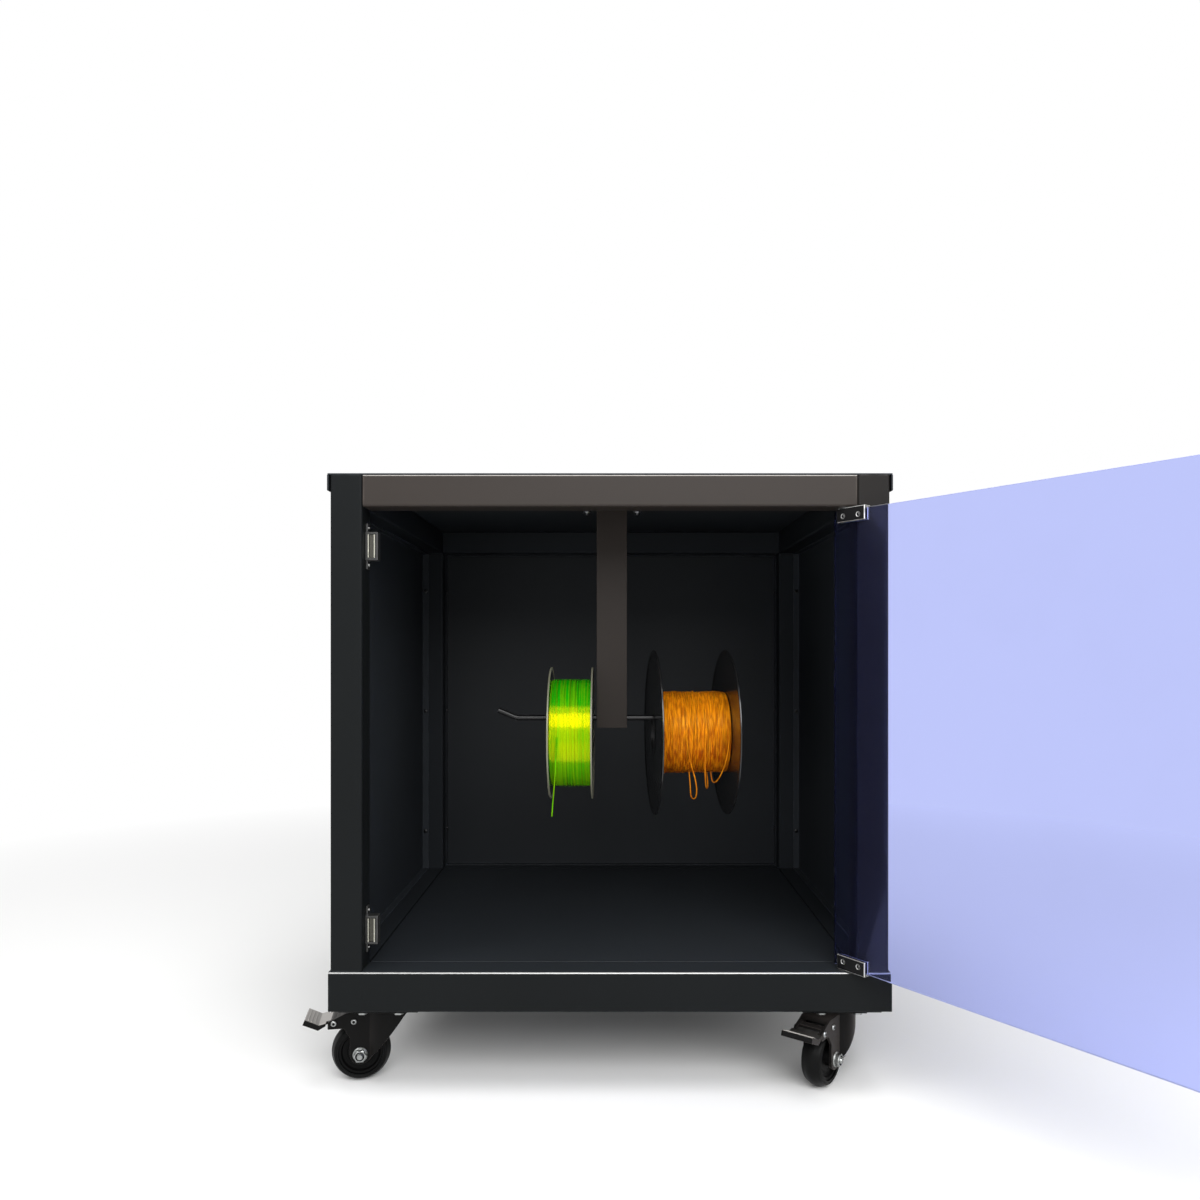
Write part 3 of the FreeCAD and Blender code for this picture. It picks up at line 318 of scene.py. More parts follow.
def mesh_of(build, name):
    """Turns a bmesh into a mesh with smooth shading up to an angle."""
    mesh = bpy.data.meshes.new(name)
    build.to_mesh(mesh)
    build.free()
    mesh.polygons.foreach_set("use_smooth", [True] * len(mesh.polygons))
    mesh.set_sharp_from_angle(angle=math.radians(SMOOTH))
    return mesh


def star(reach, height, count):
    """A ring of points about Z whose radius follows a function of the angle."""
    return [Vector((reach(a) * math.cos(a), reach(a) * math.sin(a), height))
            for a in (math.tau * i / count for i in range(count))]


def circle(radius, height, count):
    return star(lambda angle: radius, height, count)


def hexagon(corner):
    def reach(angle):
        return corner * math.cos(math.pi / 6) / math.cos((angle % (math.pi / 3)) - math.pi / 6)
    return reach


def cross(arm, half):
    def reach(angle):
        flat = max(abs(math.cos(angle)), abs(math.sin(angle)))
        side = math.sqrt(max(0.0, 1 - flat * flat))
        return min(arm / flat, half / side if side > 1e-6 else arm)
    return reach


def shell(rings, closed=False, capped=True):
    """A skin over rings with as many points each. A closed one joins the last ring to the first."""
    build = bmesh.new()
    loops = [[build.verts.new(point) for point in ring] for ring in rings]
    pairs = list(zip(loops, loops[1:]))
    if closed:
        pairs.append((loops[-1], loops[0]))
    count = len(loops[0])
    for low, high in pairs:
        for i in range(count):
            build.faces.new((low[i], low[(i + 1) % count], high[(i + 1) % count], high[i]))
    if capped and not closed:
        build.faces.new(list(reversed(loops[0])))
        build.faces.new(loops[-1])
    bmesh.ops.recalc_face_normals(build, faces=build.faces)
    return build


def turned(profile, count, closed=True):
    """A turned shape about Z from (radius, height) points. A closed profile makes a ring."""
    return shell([circle(radius, height, count) for radius, height in profile], closed)


def in_mm(points, base=0.0):
    """A profile given in millimetres, on a base height in metres."""
    return [(radius * MM, base + height * MM) for radius, height in points]


def frame_of(axis, side=None):
    """A turn that takes Z to an axis, and X to a side where one is given."""
    z = axis.normalized()
    if side is None:
        side = ACROSS if abs(z.x) < 0.9 else -FRONT
    x = (side - z * side.dot(z)).normalized()
    return Matrix((x, z.cross(x), z)).transposed().to_4x4()


def set_at(build, point, axis, side=None):
    build.transform(Matrix.Translation(point) @ frame_of(axis, side))
    return build


def joined(*builds):
    """Several bmeshes as one."""
    whole = bmesh.new()
    for build in builds:
        part = bpy.data.meshes.new("part")
        build.to_mesh(part)
        build.free()
        whole.from_mesh(part)
        bpy.data.meshes.remove(part)
    return whole


def block(low, high, ease):
    """A box between two corners with eased edges."""
    build = bmesh.new()
    bmesh.ops.create_cube(build, size=1.0)
    build.transform(Matrix.Translation((low + high) / 2) @ Matrix.Diagonal((*(high - low), 1.0)))
    bmesh.ops.bevel(build, geom=build.edges[:], offset=ease, segments=2, profile=0.5, affect="EDGES",
                    clamp_overlap=True)
    return build


def merged(node):
    """A bmesh of a CAD node whose loose triangles are joined."""
    build = bmesh.new()
    build.from_mesh(frame["nodes"][node].data)
    bmesh.ops.remove_doubles(build, verts=build.verts, dist=MERGE)
    return build


def solid_copy(node):
    """A merged CAD node with its flat faces made whole."""
    build = merged(node)
    bmesh.ops.dissolve_limit(build, angle_limit=math.radians(FLAT), verts=build.verts, edges=build.edges)
    return build


def ease_edges(build, ease, corner=CORNER, segments=2, chosen=None):
    """Rounds the edges sharper than an angle, or the chosen ones, and marks the new faces as eased, which some
    finishes lighten partly for wear and partly as a painted highlight.
    """
    if chosen is None:
        chosen = [edge for edge in build.edges
                  if edge.is_manifold and edge.calc_face_angle(0.0) > math.radians(corner)]
    layer = build.faces.layers.float.new("worn_edge")
    made = bmesh.ops.bevel(build, geom=chosen, offset=ease, segments=segments, profile=0.5, affect="EDGES",
                           clamp_overlap=False)
    for face in made["faces"]:
        face[layer] = 1.0
    return build


def outer_edges(build):
    """The edges along the outside corners of a boxy shape, and none of its holes or hollows."""
    sides = [(min(vert.co[i] for vert in build.verts), max(vert.co[i] for vert in build.verts))
             for i in range(3)]

    def on_corner(vert):
        return sum(min(abs(vert.co[i] - side) for side in sides[i]) < NEAR for i in range(3)) >= 2
    return [edge for edge in build.edges
            if edge.calc_face_angle(0.0) > math.radians(CORNER) and all(on_corner(v) for v in edge.verts)]


def flattened(piece):
    """Bakes normals that keep the large flat faces flat beside their rounded edges."""
    modifier = piece.modifiers.new("flat_faces", "WEIGHTED_NORMAL")
    modifier.weight = 100
    modifier.keep_sharp = True
    graph = bpy.context.evaluated_depsgraph_get()
    baked = bpy.data.meshes.new_from_object(piece.evaluated_get(graph))
    piece.modifiers.remove(modifier)
    rough = piece.data
    piece.data = baked
    bpy.data.meshes.remove(rough)
    return piece


def settle(piece, node):
    """Lets a piece stand for a CAD node, on that node's body, and hides the node."""
    record = frame["record"]
    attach(piece, next(body for body, names in record["behaviour"]["bodies"].items() if node in names))
    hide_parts(node)
    return piece


def put(build, materials, node, name=None, finish=flattened):
    """Makes a bmesh the piece that stands for a CAD node."""
    name = name or f"{node}_look"
    mesh = mesh_of(build, name)
    for material in materials if isinstance(materials, tuple) else (materials,):
        mesh.materials.append(material)
    piece = new_object(name, mesh)
    return settle(finish(piece) if finish else piece, node)


def faced(build, choose):
    """Gives each face the material number that a rule picks from its normal and middle."""
    build.normal_update()
    for face in build.faces:
        face.material_index = choose(face.normal, face.calc_center_median())
    return build


def eased(node, material, ease, corner=CORNER):
    """The CAD node's own shape with eased edges and a finish."""
    return put(ease_edges(solid_copy(node), ease, corner), material, node)


def islands(node):
    """The lowest and highest corner of each separate solid of a CAD node."""
    build = merged(node)
    left = set(build.verts)
    boxes = []
    while left:
        reach = [left.pop()]
        found = []
        while reach:
            vert = reach.pop()
            found.append(vert.co.copy())
            for edge in vert.link_edges:
                other = edge.other_vert(vert)
                if other in left:
                    left.remove(other)
                    reach.append(other)
        low = Vector(min(point[i] for point in found) for i in range(3))
        high = Vector(max(point[i] for point in found) for i in range(3))
        boxes.append((low, high))
    build.free()
    return sorted(boxes, key=lambda pair: tuple(round(x, 4) for x in pair[0]))


def shade(build, choose):
    """Marks the faces whose middles a rule picks as a recess, which the steel paints near black as painted shade.
    """
    layer = build.faces.layers.float.new("recess")
    for face in build.faces:
        face[layer] = float(choose(face.calc_center_median()))
    return build


def screw_head(radius, height, recess):
    """A domed head with a recess, standing on Z, for placing many times."""
    count = 32
    dome = ((1.0, 0.0), (1.0, 0.35), (0.93, 0.68), (0.76, 0.92))
    shape = cross(radius * 0.62, radius * 0.15) if recess == "cross" else hexagon(radius * 0.58)
    rings = [circle(radius * out, height * up, count) for out, up in dome]
    rings += [star(shape, height, count), star(shape, height * 0.2, count)]

    # The faces inside the recess are painted near black, as painted shade.
    def sunk(middle):
        return middle.xy.length < radius * 0.66 and height * 0.1 < middle.z < height * 0.9
    return shade(shell(rings), sunk)


def hex_nut(corner, height, bore):
    """A chamfered hexagon nut about Z with a sunk, shaded ring about its bore."""
    count = 36
    rim = corner * math.cos(math.pi / 6) * 0.94
    mouth = bore * 1.42
    floor = height * 0.7
    rings = [circle(rim, 0, count), star(hexagon(corner), height * 0.12, count),
             star(hexagon(corner), height * 0.88, count)]
    rings += [circle(radius, up, count)
              for radius, up in ((rim, height), (mouth, height), (mouth, floor), (bore, floor), (bore, 0))]

    # The sunk ring about the bore is painted near black, as painted shade.
    def sunk(middle):
        return middle.xy.length < mouth * 1.01 and middle.z > floor * 0.9
    return shade(shell(rings, closed=True), sunk)


def threaded_end(radius, low, high, pitch):
    """A bolt's end about Z with turned thread ridges and a chamfered tip."""
    root = radius * 0.86
    profile = [(root, low)]
    height = low
    while height + pitch < high - pitch:
        profile += [(radius, height + pitch * 0.45), (radius, height + pitch * 0.55), (root, height + pitch)]
        height += pitch
    profile += [(radius, height + pitch * 0.5), (radius * 0.8, high)]
    return turned(profile, 24, closed=False)


def scatter_tree(instance, material):
    """A tree that puts one small mesh on every point, facing the way the point says."""
    tree = Weave("Facing Screws", Size=("Float", 1.0))
    shape = tree.add("GeometryNodeObjectInfo", None, Object=instance)
    facing = tree.add("GeometryNodeInputNamedAttribute", {"data_type": "FLOAT_VECTOR"}, Name="facing")
    turn = tree.add("FunctionNodeAlignRotationToVector", {"axis": "Z"}, Vector=facing.outputs["Attribute"])
    points = tree.add("GeometryNodeMeshToPoints", None, Mesh=tree.read("Geometry"))
    placed = tree.add("GeometryNodeInstanceOnPoints", None, Points=points.outputs[0],
                      Instance=shape.outputs["Geometry"], Rotation=turn.outputs[0], Scale=tree.read("Size"))
    tree.close(placed.outputs[0], material)
    return tree


def scattered(name, build, spots, material, node):
    """Copies of one shape at (point, facing) spots, as one piece that stands for a CAD node."""
    sample = new_object(f"{name}_sample", mesh_of(build, f"{name}_sample"))
    seeds = bpy.data.meshes.new(f"{name}_spots")
    seeds.from_pydata([tuple(point) for point, _ in spots], [], [])
    facing = seeds.attributes.new("facing", "FLOAT_VECTOR", "POINT")
    for number, (_, way) in enumerate(spots):
        facing.data[number].vector = tuple(way)
    made = scatter_tree(sample, material).bake(name, seeds)
    bpy.data.objects.remove(sample)
    return settle(made, node)


def colour_property(name, description, default):
    return FloatVectorProperty(name=name, description=description, size=3, subtype="COLOR", default=default)


def length_property(name, description, default):
    return FloatProperty(name=name, description=description, default=default, unit="LENGTH")


class CabinetLook(bpy.types.PropertyGroup):
    frame_colour: colour_property(
        "Frame colour", "Powder coat of the base rails and the left front post", (0.0068, 0.0077, 0.0081))
    # The top front rail's coat is a lighter, warmer copy of the black frame coat, as painted light from above and
    # the right.
    rail_lit_colour: colour_property(
        "Front rail colour", "Powder coat of the top front rail", (0.0265, 0.0218, 0.0190))
    # The hinge post's coat is a lighter copy of the frame coat, as painted light on the right side.
    right_post_lit_colour: colour_property(
        "Hinge post colour", "Powder coat of the right front post", (0.0150, 0.0138, 0.0130))
    sheet_colour: colour_property(
        "Sheet colour", "Powder coat of the back, the floor and the top's lips", (0.0122, 0.0141, 0.0165))
    # The sides and the top take a lighter copy of the black coat, as painted light on the inner walls and the
    # ceiling.
    side_lit_colour: colour_property(
        "Side colour", "Powder coat of the sides, the top and, darker, the rear tubes",
        (0.0255, 0.0290, 0.0335))
    hanger_colour: colour_property(
        "Hanger colour", "Powder coat of the spool hanger", (0.0200, 0.0162, 0.0140))
    ease: length_property("Edge ease", "Rounding of folded and cut edges", 0.0006)
    post_round: length_property("Post rounding", "Rounding of the front posts' outer corners", 0.0014)
    rail_round: length_property("Rail rounding", "Rounding of the top front rail's outer corners", 0.00196)
    base_round: length_property("Base rounding", "Rounding of the base rails' outer corners", 0.0025)
    set_back: length_property("Plate set-back", "How far the top plate is behind the rail's face", 0.0018)
    seam: length_property("Seam", "Open joint between the front rail and each post", 0.0009)
    reach: length_property("Sheet reach", "How far panels go past their solids to meet the tubes", 0.0004)


class DoorLook(bpy.types.PropertyGroup):
    tint: colour_property("Tint", "Colour that the sheet passes at each face", (0.52, 0.57, 0.965))
    # The upright edges are painted dark blue, as painted shade.
    upright_edge_shade: colour_property(
        "Edge tint", "Colour that gathers in the upright edges", (0.003, 0.004, 0.014))
    glint: colour_property("Glint", "Colour that the sheet mirrors", (0.05, 0.07, 0.30))
    ease: length_property("Edge ease", "Flame-polished rounding of the sheet's edges", 0.0008)


class SpoolLook(bpy.types.PropertyGroup):
    green_bright: colour_property("Green, lit", "Bright tone of the green filament", (0.16, 0.44, 0.002))
    green_deep: colour_property("Green, deep", "Deep tone of the green filament", (0.004, 0.42, 0.003))
    orange_bright: colour_property("Orange, lit", "Bright tone of the orange filament", (0.75, 0.26, 0.005))
    orange_deep: colour_property("Orange, deep", "Deep tone of the orange filament", (0.33, 0.060, 0.002))
    strand: length_property("Strand", "Diameter of the filament", 0.00175)
    seed: IntProperty(name="Seed", description="Draw of the loose turns", default=7)


class CasterLook(bpy.types.PropertyGroup):
    steel_colour: colour_property("Fork colour", "Paint of the pressed steel", (0.0024, 0.0025, 0.0025))
    tyre_colour: colour_property("Tyre colour", "Rubber of the tread", (0.0027, 0.0028, 0.0028))


class StageLook(bpy.types.PropertyGroup):
    eye: FloatVectorProperty(
        name="Eye", description="Where the camera stands", size=3, subtype="TRANSLATION", unit="LENGTH",
        default=(0.00375, -1.474, 0.555))
    focal: FloatProperty(
        name="Focal length", description="Lens on a 36 mm sensor, in millimetres", default=28.176)
    shift: FloatVectorProperty(
        name="Shift", description="Framing shift across and up", size=2, default=(-0.01083, 0.04333))
    floor_colour: colour_property("Floor colour", "Pale floor", (0.86, 0.86, 0.855))


# Radii of the floor's rings, their sides, and the distance that its fade to white is measured by
FLOOR_RINGS = (30.0, 8.0, 2.0)
FLOOR_SIDES = 96
FADE_SPAN = 4.0

# Strength of the white background where it isn't in plain sight
DIM = 0.42

# Area lamps: name, place, aim, width, height and power
LAMPS = (
    ("key", (0.3, -2.3, 1.75), (0, -0.1, 0.45), 1.8, 1.4, 52),
    ("front", (-0.8, -2.6, 0.4), (0, 0, 0.45), 1.8, 0.7, 13),
    ("fill", (2.0, -2.2, 1.3), (0.1, 0, 0.4), 1.6, 1.6, 20),
    ("side", (-1.8, -1.0, 2.5), (0, 0, 0.4), 1.4, 1.4, 24),
    ("top", (0.2, -0.4, 3.0), (0, -0.1, 0.4), 2.2, 2.2, 42),
)


class DRYER_OT_stage(bpy.types.Operator):
    """Floor, light, background and camera"""
    bl_idname = "dryer.stage"
    bl_label = "Stage"

    def execute(self, context):
        scene = context.scene
        look = scene.dryer_stage
        scene.view_settings.view_transform = "Standard"
        self.make_floor(look)
        self.make_world(scene)
        self.make_lamps()
        camera = bpy.data.cameras.new("camera")
        camera.lens = look.focal
        camera.sensor_width = 36.0
        camera.shift_x, camera.shift_y = look.shift
        eye = new_object("camera", camera)
        eye.location = look.eye
        eye.rotation_euler = (math.pi / 2, 0, 0)
        scene.camera = eye
        return {"FINISHED"}

    def make_floor(self, look):
        """A wide disc that takes the part's shadow and fades to white."""
        build = shell([circle(radius, 0, FLOOR_SIDES) for radius in FLOOR_RINGS], capped=False)
        build.faces.new(build.verts[-FLOOR_SIDES:])
        build.normal_update()
        for face in build.faces:
            if face.normal.z < 0:
                face.normal_flip()
        mesh = mesh_of(build, "floor")
        material, board, shader = surface("pale_floor", Roughness=0.75, Specular_IOR_Level=0.2)
        pale = look.floor_colour
        tone = board.mix(board.noise(1.3, 3.0), scaled(pale, 0.98), scaled(pale, 1.02))
        board.dress(shader, Base_Color=tone)
        distance = board.vector("LENGTH", board.coordinates())
        far = board.ramp(distance / FADE_SPAN, (0.16, 0.0), (0.55, 1.0)) * self.plain_sight(board)
        glow = board.node("ShaderNodeEmission", None, {"Color": (1, 1, 1, 1), "Strength": 1.0})
        blend = board.node("ShaderNodeMixShader", None, {0: far, 1: shader.outputs[0], 2: glow.outputs[0]})
        board.dress(material.node_tree.nodes["Material Output"], Surface=blend.outputs[0])
        mesh.materials.append(material)
        new_object("floor", mesh)

    def plain_sight(self, board):
        """One for what the camera sees, also in gloss and through glass, and nought for other light."""
        path = board.node("ShaderNodeLightPath")
        camera, glossy, passed = (Term(board, path.outputs[f"Is {kind} Ray"])
                                  for kind in ("Camera", "Glossy", "Transmission"))
        return (camera + glossy + passed) > 0.5

    def make_world(self, scene):
        world = bpy.data.worlds.new("studio")
        world.use_nodes = True
        board = Board(world.node_tree)
        board.dress(world.node_tree.nodes["Background"], Color=(1, 1, 1, 1),
                    Strength=DIM + (1 - DIM) * self.plain_sight(board))
        scene.world = world

    def make_lamps(self):
        for name, spot, aim, wide, tall, power in LAMPS:
            lamp = bpy.data.lights.new(name, "AREA")
            lamp.shape = "RECTANGLE"
            lamp.size = wide
            lamp.size_y = tall
            lamp.energy = power
            made = new_object(name, lamp)
            made.location = spot
            made.rotation_euler = (Vector(aim) - Vector(spot)).to_track_quat("-Z", "Y").to_euler()
            made.visible_glossy = name != "front"


GREEN_AT = Vector(JOINTS["green_spool_spin"]["pos_m"])
ORANGE_AT = Vector(JOINTS["orange_spool_spin"]["pos_m"])
ORANGE_AXIS = Vector(JOINTS["orange_spool_spin"]["axis"])

# Colours of the gloss on the two filaments
GREEN_GLINT = (1.0, 0.62, 0.0)
ORANGE_GLINT = (1.0, 0.62, 0.10)

# Routes of the loose filament about the middle of its spool, in millimetres
GREEN_TAIL = ((-18, -79.5, 0), (-19, -80, -36), (-21.5, -79.7, -72), (-24.5, -81, -109))
ORANGE_LOOPS = (
    ((-14, -60.5, 2), (-10, -61.5, -32), (1, -62, -66), (2, -54, -90), (-4, -40, -92), (-3, -28, -72),
     (-4, -22.7, -55.4)),
    ((14, -60.5, 0), (13, -61, -28), (13.5, -58, -58), (17, -46, -78), (23, -32, -77), (22, -19.5, -56.6)),
    ((48, -60.5, 0), (46, -61, -25), (40, -58, -48), (33, -47, -67), (27, -33, -71), (28, -22, -55.7)),
)


class DRYER_OT_loose_strands(bpy.types.Operator):
    """Loose filament hanging from the two spools"""
    bl_idname = "dryer.loose_strands"
    bl_label = "Loose strands"

    def execute(self, context):
        look = context.scene.dryer_spools
        green = wound_plastic("green_strand", look.green_bright, look.green_deep, GREEN_GLINT, GREEN_AT)
        orange = wound_plastic("orange_strand", look.orange_bright, look.orange_deep, ORANGE_GLINT, ORANGE_AT)
        yaw = Matrix.Rotation(math.atan2(ORANGE_AXIS.y, ORANGE_AXIS.x), 4, "Z")
        self.strand("green_tail", [GREEN_AT + Vector(p) * MM for p in GREEN_TAIL], green,
                    "green_loose_strand", look.strand, "bare")
        for number, loop in enumerate(ORANGE_LOOPS, 1):
            points = [ORANGE_AT + yaw @ (Vector(p) * MM) for p in loop]
            self.strand(f"orange_loop_{number}", points, orange, "orange_loose_strand", look.strand, "object")
        return {"FINISHED"}

    def strand(self, name, points, material, node, thick, end):
        curve = bpy.data.curves.new(name, "CURVE")
        curve.dimensions = "3D"
        curve.bevel_depth = thick / 2
        curve.bevel_resolution = 3
        curve.use_fill_caps = True
        curve.resolution_u = 10
        spline = curve.splines.new("NURBS")
        spline.points.add(len(points) - 1)
        for point, place in zip(spline.points, points):
            point.co = (*place, 1.0)
        spline.order_u = 3
        spline.use_endpoint_u = True
        curve.materials.append(material)
        piece = settle(new_object(name, curve), node)
        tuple(points[0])


def sheet_coat(name, colour, wear_and_highlight_lift=2.4):
    """Powder coat of sheets and ledges, which is rougher and mirrors more than that of the tubes."""
    return powder_coat(name, colour, 0.48, specular=0.17, wear_and_highlight_lift=wear_and_highlight_lift)


class DRYER_OT_frame(bpy.types.Operator):
    """Posts, rails and corner plates"""
    bl_idname = "dryer.frame"
    bl_label = "Tube frame"

    def execute(self, context):
        look = context.scene.dryer_cabinet
        coat = powder_coat("frame_coat", look.frame_colour)
        # The tops of the base rails take a lighter copy of the sheet coat, as painted light on what faces up.
        lit_ledge = sheet_coat("ledge_painted_light_coat", scaled(look.sheet_colour, 1.3), wear_and_highlight_lift=1.2)
        # Bright steel on the base rail's upper front rounding is a painted glint of the lamps.
        edge_wear_and_glint = bright_steel("base_edge_painted_glint", (0.34, 0.34, 0.335), 0.38)

        def edged(normal, middle):
            """One for the upper front edge, with its painted glint, two for what faces up, with its lighter coat
            as painted light.
            """
            if normal.z > 0.9:
                return 2
            return int(normal.y < -0.4 and normal.z > 0.4)
        self.rounded("base_front_rail", look.base_round, (coat, edge_wear_and_glint, lit_ledge), edged)
        self.rounded("base_rear_rail", look.base_round, (coat, coat, lit_ledge), edged)
        sides = ease_edges(solid_copy("base_side_rails"), look.ease)
        put(faced(sides, edged), (coat, coat, lit_ledge), "base_side_rails")
        # The posts' eased corners are lightened more than the frame's, as a painted highlight, and the hinge
        # post's coat is a lighter copy, as painted light.
        post_highlight_coat = powder_coat("post_highlight_coat", look.frame_colour, wear_and_highlight_lift=4.5)
        hinge_lit_coat = powder_coat("hinge_post_lit_coat", look.right_post_lit_colour, wear_and_highlight_lift=3.5)
        self.rounded("left_front_post", look.post_round, (post_highlight_coat,))
        self.rounded("right_front_post", look.post_round, (hinge_lit_coat,))
        # The top front rail's lighter coat is painted light, and its upper front rounding takes bright steel as a
        # painted glint.
        rail_lit_coat = powder_coat("rail_lit_coat", look.rail_lit_colour, specular=0.14)
        rail_edge_glint = bright_steel("rail_edge_glint", (0.28, 0.265, 0.25), 0.4)
        self.rounded("top_front_rail", look.rail_round, (rail_lit_coat, rail_edge_glint),
                     lambda normal, middle: edged(normal, middle) % 2, look.seam)
        # The rear tubes take a darker share of the sides' lighter, painted-light coat.
        inner_coat = powder_coat("inner_coat", scaled(look.side_lit_colour, 0.62))
        for node in ("rear_posts", "top_rear_rail", "top_side_rails"):
            eased(node, inner_coat, look.ease)
        eased("corner_plates", coat, look.ease)
        return {"FINISHED"}

    def rounded(self, node, radius, finishes, choose=lambda normal, middle: 0, seam=0.0):
        """A square tube with rounded outer corners, drawn in at its ends by a seam."""
        build = solid_copy(node)
        reach = max(vert.co.x for vert in build.verts) - MM
        for vert in build.verts:
            if abs(vert.co.x) > reach:
                vert.co.x -= math.copysign(seam, vert.co.x)
        ease_edges(build, radius, segments=4, chosen=outer_edges(build))
        put(faced(build, choose), finishes, node)


class DRYER_OT_panels(bpy.types.Operator):
    """Side, back, floor and top sheets with their screws"""
    bl_idname = "dryer.panels"
    bl_label = "Panels"

    def execute(self, context):
        look = context.scene.dryer_cabinet
        coat = sheet_coat("sheet_coat", look.sheet_colour)
        eased("top_plate_lips", coat, look.ease)
        self.snug("back_panel", coat, look)
        # The floor takes a lighter copy of the sheet coat, as painted light on what faces up.
        eased("floor_panel", sheet_coat("floor_lit_coat", scaled(look.sheet_colour, 1.4), wear_and_highlight_lift=1.2), look.ease)
        # The sides and the top take a lighter coat, as painted light on the inner walls and the ceiling.
        side_lit_coat = powder_coat("side_lit_coat", look.side_lit_colour, 0.48)
        for node in ("left_side_panel", "right_side_panel"):
            self.snug(node, side_lit_coat, look)
        self.top_plate(side_lit_coat, look)
        self.screws()
        return {"FINISHED"}

    def snug(self, node, coat, look):
        """A sheet drawn out to the tubes around it, so that no light passes its edges."""
        build = solid_copy(node)
        (low, high), = islands(node)
        for vert in build.verts:
            for axis in range(3):
                if high[axis] - low[axis] > THICKEST_SHEET:
                    outward = (vert.co[axis] > high[axis] - MM) - (vert.co[axis] < low[axis] + MM)
                    vert.co[axis] += outward * look.reach
        put(ease_edges(build, look.ease), coat, node)

    def top_plate(self, coat, look):
        """The top plate, set back behind the front rail's face."""
        build = solid_copy("top_plate")
        front = min(vert.co.y for vert in build.verts) + MM
        for vert in build.verts:
            if vert.co.y < front:
                vert.co.y += look.set_back
        put(ease_edges(build, look.ease), coat, "top_plate")

    def screws(self):
        """Cross-headed screws, each on the inner end of its solid."""
        height = 2.0 * MM
        spots = []
        for low, high in islands("panel_screws"):
            seat = (low + high) / 2
            along = int(high.x - low.x >= high.y - low.y)
            inward = -1 if seat[along] > 0 else 1
            seat[along] = (high if inward > 0 else low)[along] - inward * height
            spots.append((seat, Vector((1 - along, along, 0)) * inward))
        steel = bright_steel("panel_screw_steel", (0.055, 0.055, 0.056), 0.35)
        scattered("panel_screw_heads", screw_head(3.5 * MM, height, "cross"), spots, steel, "panel_screws")


class DRYER_OT_door(bpy.types.Operator):
    """Tinted sheet, hinge clamps, pins, strikes and knob"""
    bl_idname = "dryer.door"
    bl_label = "Door"

    def execute(self, context):
        self.sheet(context.scene.dryer_door)
        clamp_coat = cut_edge_paint("clamp_coat", (0.0045, 0.0045, 0.005))
        for node in ("upper_hinge_clamp", "lower_hinge_clamp"):
            eased(node, clamp_coat, 0.9 * MM)
        eased("hinge_pins", bright_steel("bright_zinc"), 0.3 * MM)
        self.set_screws(bright_steel("set_screw_steel", (0.11, 0.11, 0.11), 0.32))
        eased("strike_plates", bright_steel("strike_steel", (0.5, 0.5, 0.51), 0.35), 0.3 * MM)
        eased("hinge_bushes", moulded("bush_nylon", (0.02, 0.02, 0.02)), 0.2 * MM)
        eased("door_knob", moulded("knob_plastic", (0.010, 0.010, 0.011), 0.28), 0.4 * MM, corner=20)
        return {"FINISHED"}

    def sheet(self, look):
        """The tinted sheet: level edges are painted pale, as a painted highlight, and upright edges dark blue, as
        painted shade.
        """
        clear = see_through("tinted_sheet", look.tint, 0.03, 0.003, look.glint)
        # The pale level edges are a painted highlight.
        level_highlight = moulded("level_edge_painted_highlight", (0.44, 0.46, 0.54), 0.4)
        # The dark upright edges are painted shade.
        deep = moulded("upright_edge_painted_shade", look.upright_edge_shade, 0.25, specular=0.1)
        build = ease_edges(solid_copy("door_panel"), look.ease)
        broad = max(build.faces, key=lambda face: face.calc_area()).normal.copy()

        def choose(normal, middle):
            if abs(normal.dot(broad)) > 0.9:
                return 0
            return 1 if abs(normal.z) > 0.5 else 2
        put(faced(build, choose), (clear, level_highlight, deep), "door_panel")

    def set_screws(self, steel):
        """Socket screws in the clamps, on the side that closes towards the cabinet."""
        sheet = solid_copy("door_panel")
        broad = sorted(sheet.faces, key=lambda face: face.calc_area())[-2:]
        out = min((face.normal.copy() for face in broad), key=lambda normal: normal.y)
        sheet.free()
        depth = 2.0 * MM
        end = 1.8 * MM
        spots = [((low + high) / 2 + out * (end - depth), out) for low, high in islands("hinge_set_screws")]
        head = screw_head(2.4 * MM, depth, "hex")
        scattered("hinge_set_screw_heads", head, spots, steel, "hinge_set_screws")


class DRYER_OT_catches(bpy.types.Operator):
    """Magnetic catches on the left post"""
    bl_idname = "dryer.catches"
    bl_label = "Catches"

    def execute(self, context):
        eased("catch_cases", moulded("catch_plastic", (0.014, 0.014, 0.0135), 0.42, edge_wear_and_glint=5.0), 0.7 * MM)
        steel = bright_steel("pole_steel", (0.50, 0.49, 0.42), 0.3)
        ferrite = moulded("ferrite", (0.034, 0.032, 0.023), 0.5)
        boxes = islands("catch_magnets")
        thick = max(high.x - low.x for low, high in boxes)
        magnets = [(low, high) for low, high in boxes if high.x - low.x > thick * 0.9]
        slack = 0.1 * MM

        def choose(normal, middle):
            return int(any(all(low[i] - slack < middle[i] < high[i] + slack for i in range(3))
                           for low, high in magnets))
        build = faced(ease_edges(solid_copy("catch_magnets"), 0.2 * MM), choose)
        put(build, (steel, ferrite), "catch_magnets")
        sunk = 2.0 * MM
        spots = [(Vector((high.x - sunk, (low.y + high.y) / 2, (low.z + high.z) / 2)), ACROSS)
                 for low, high in islands("catch_screws")]
        zinc = bright_steel("catch_screw_zinc", (0.22, 0.22, 0.21))
        scattered("catch_screw_heads", screw_head(2.6 * MM, 1.9 * MM, "cross"), spots, zinc, "catch_screws")
        return {"FINISHED"}


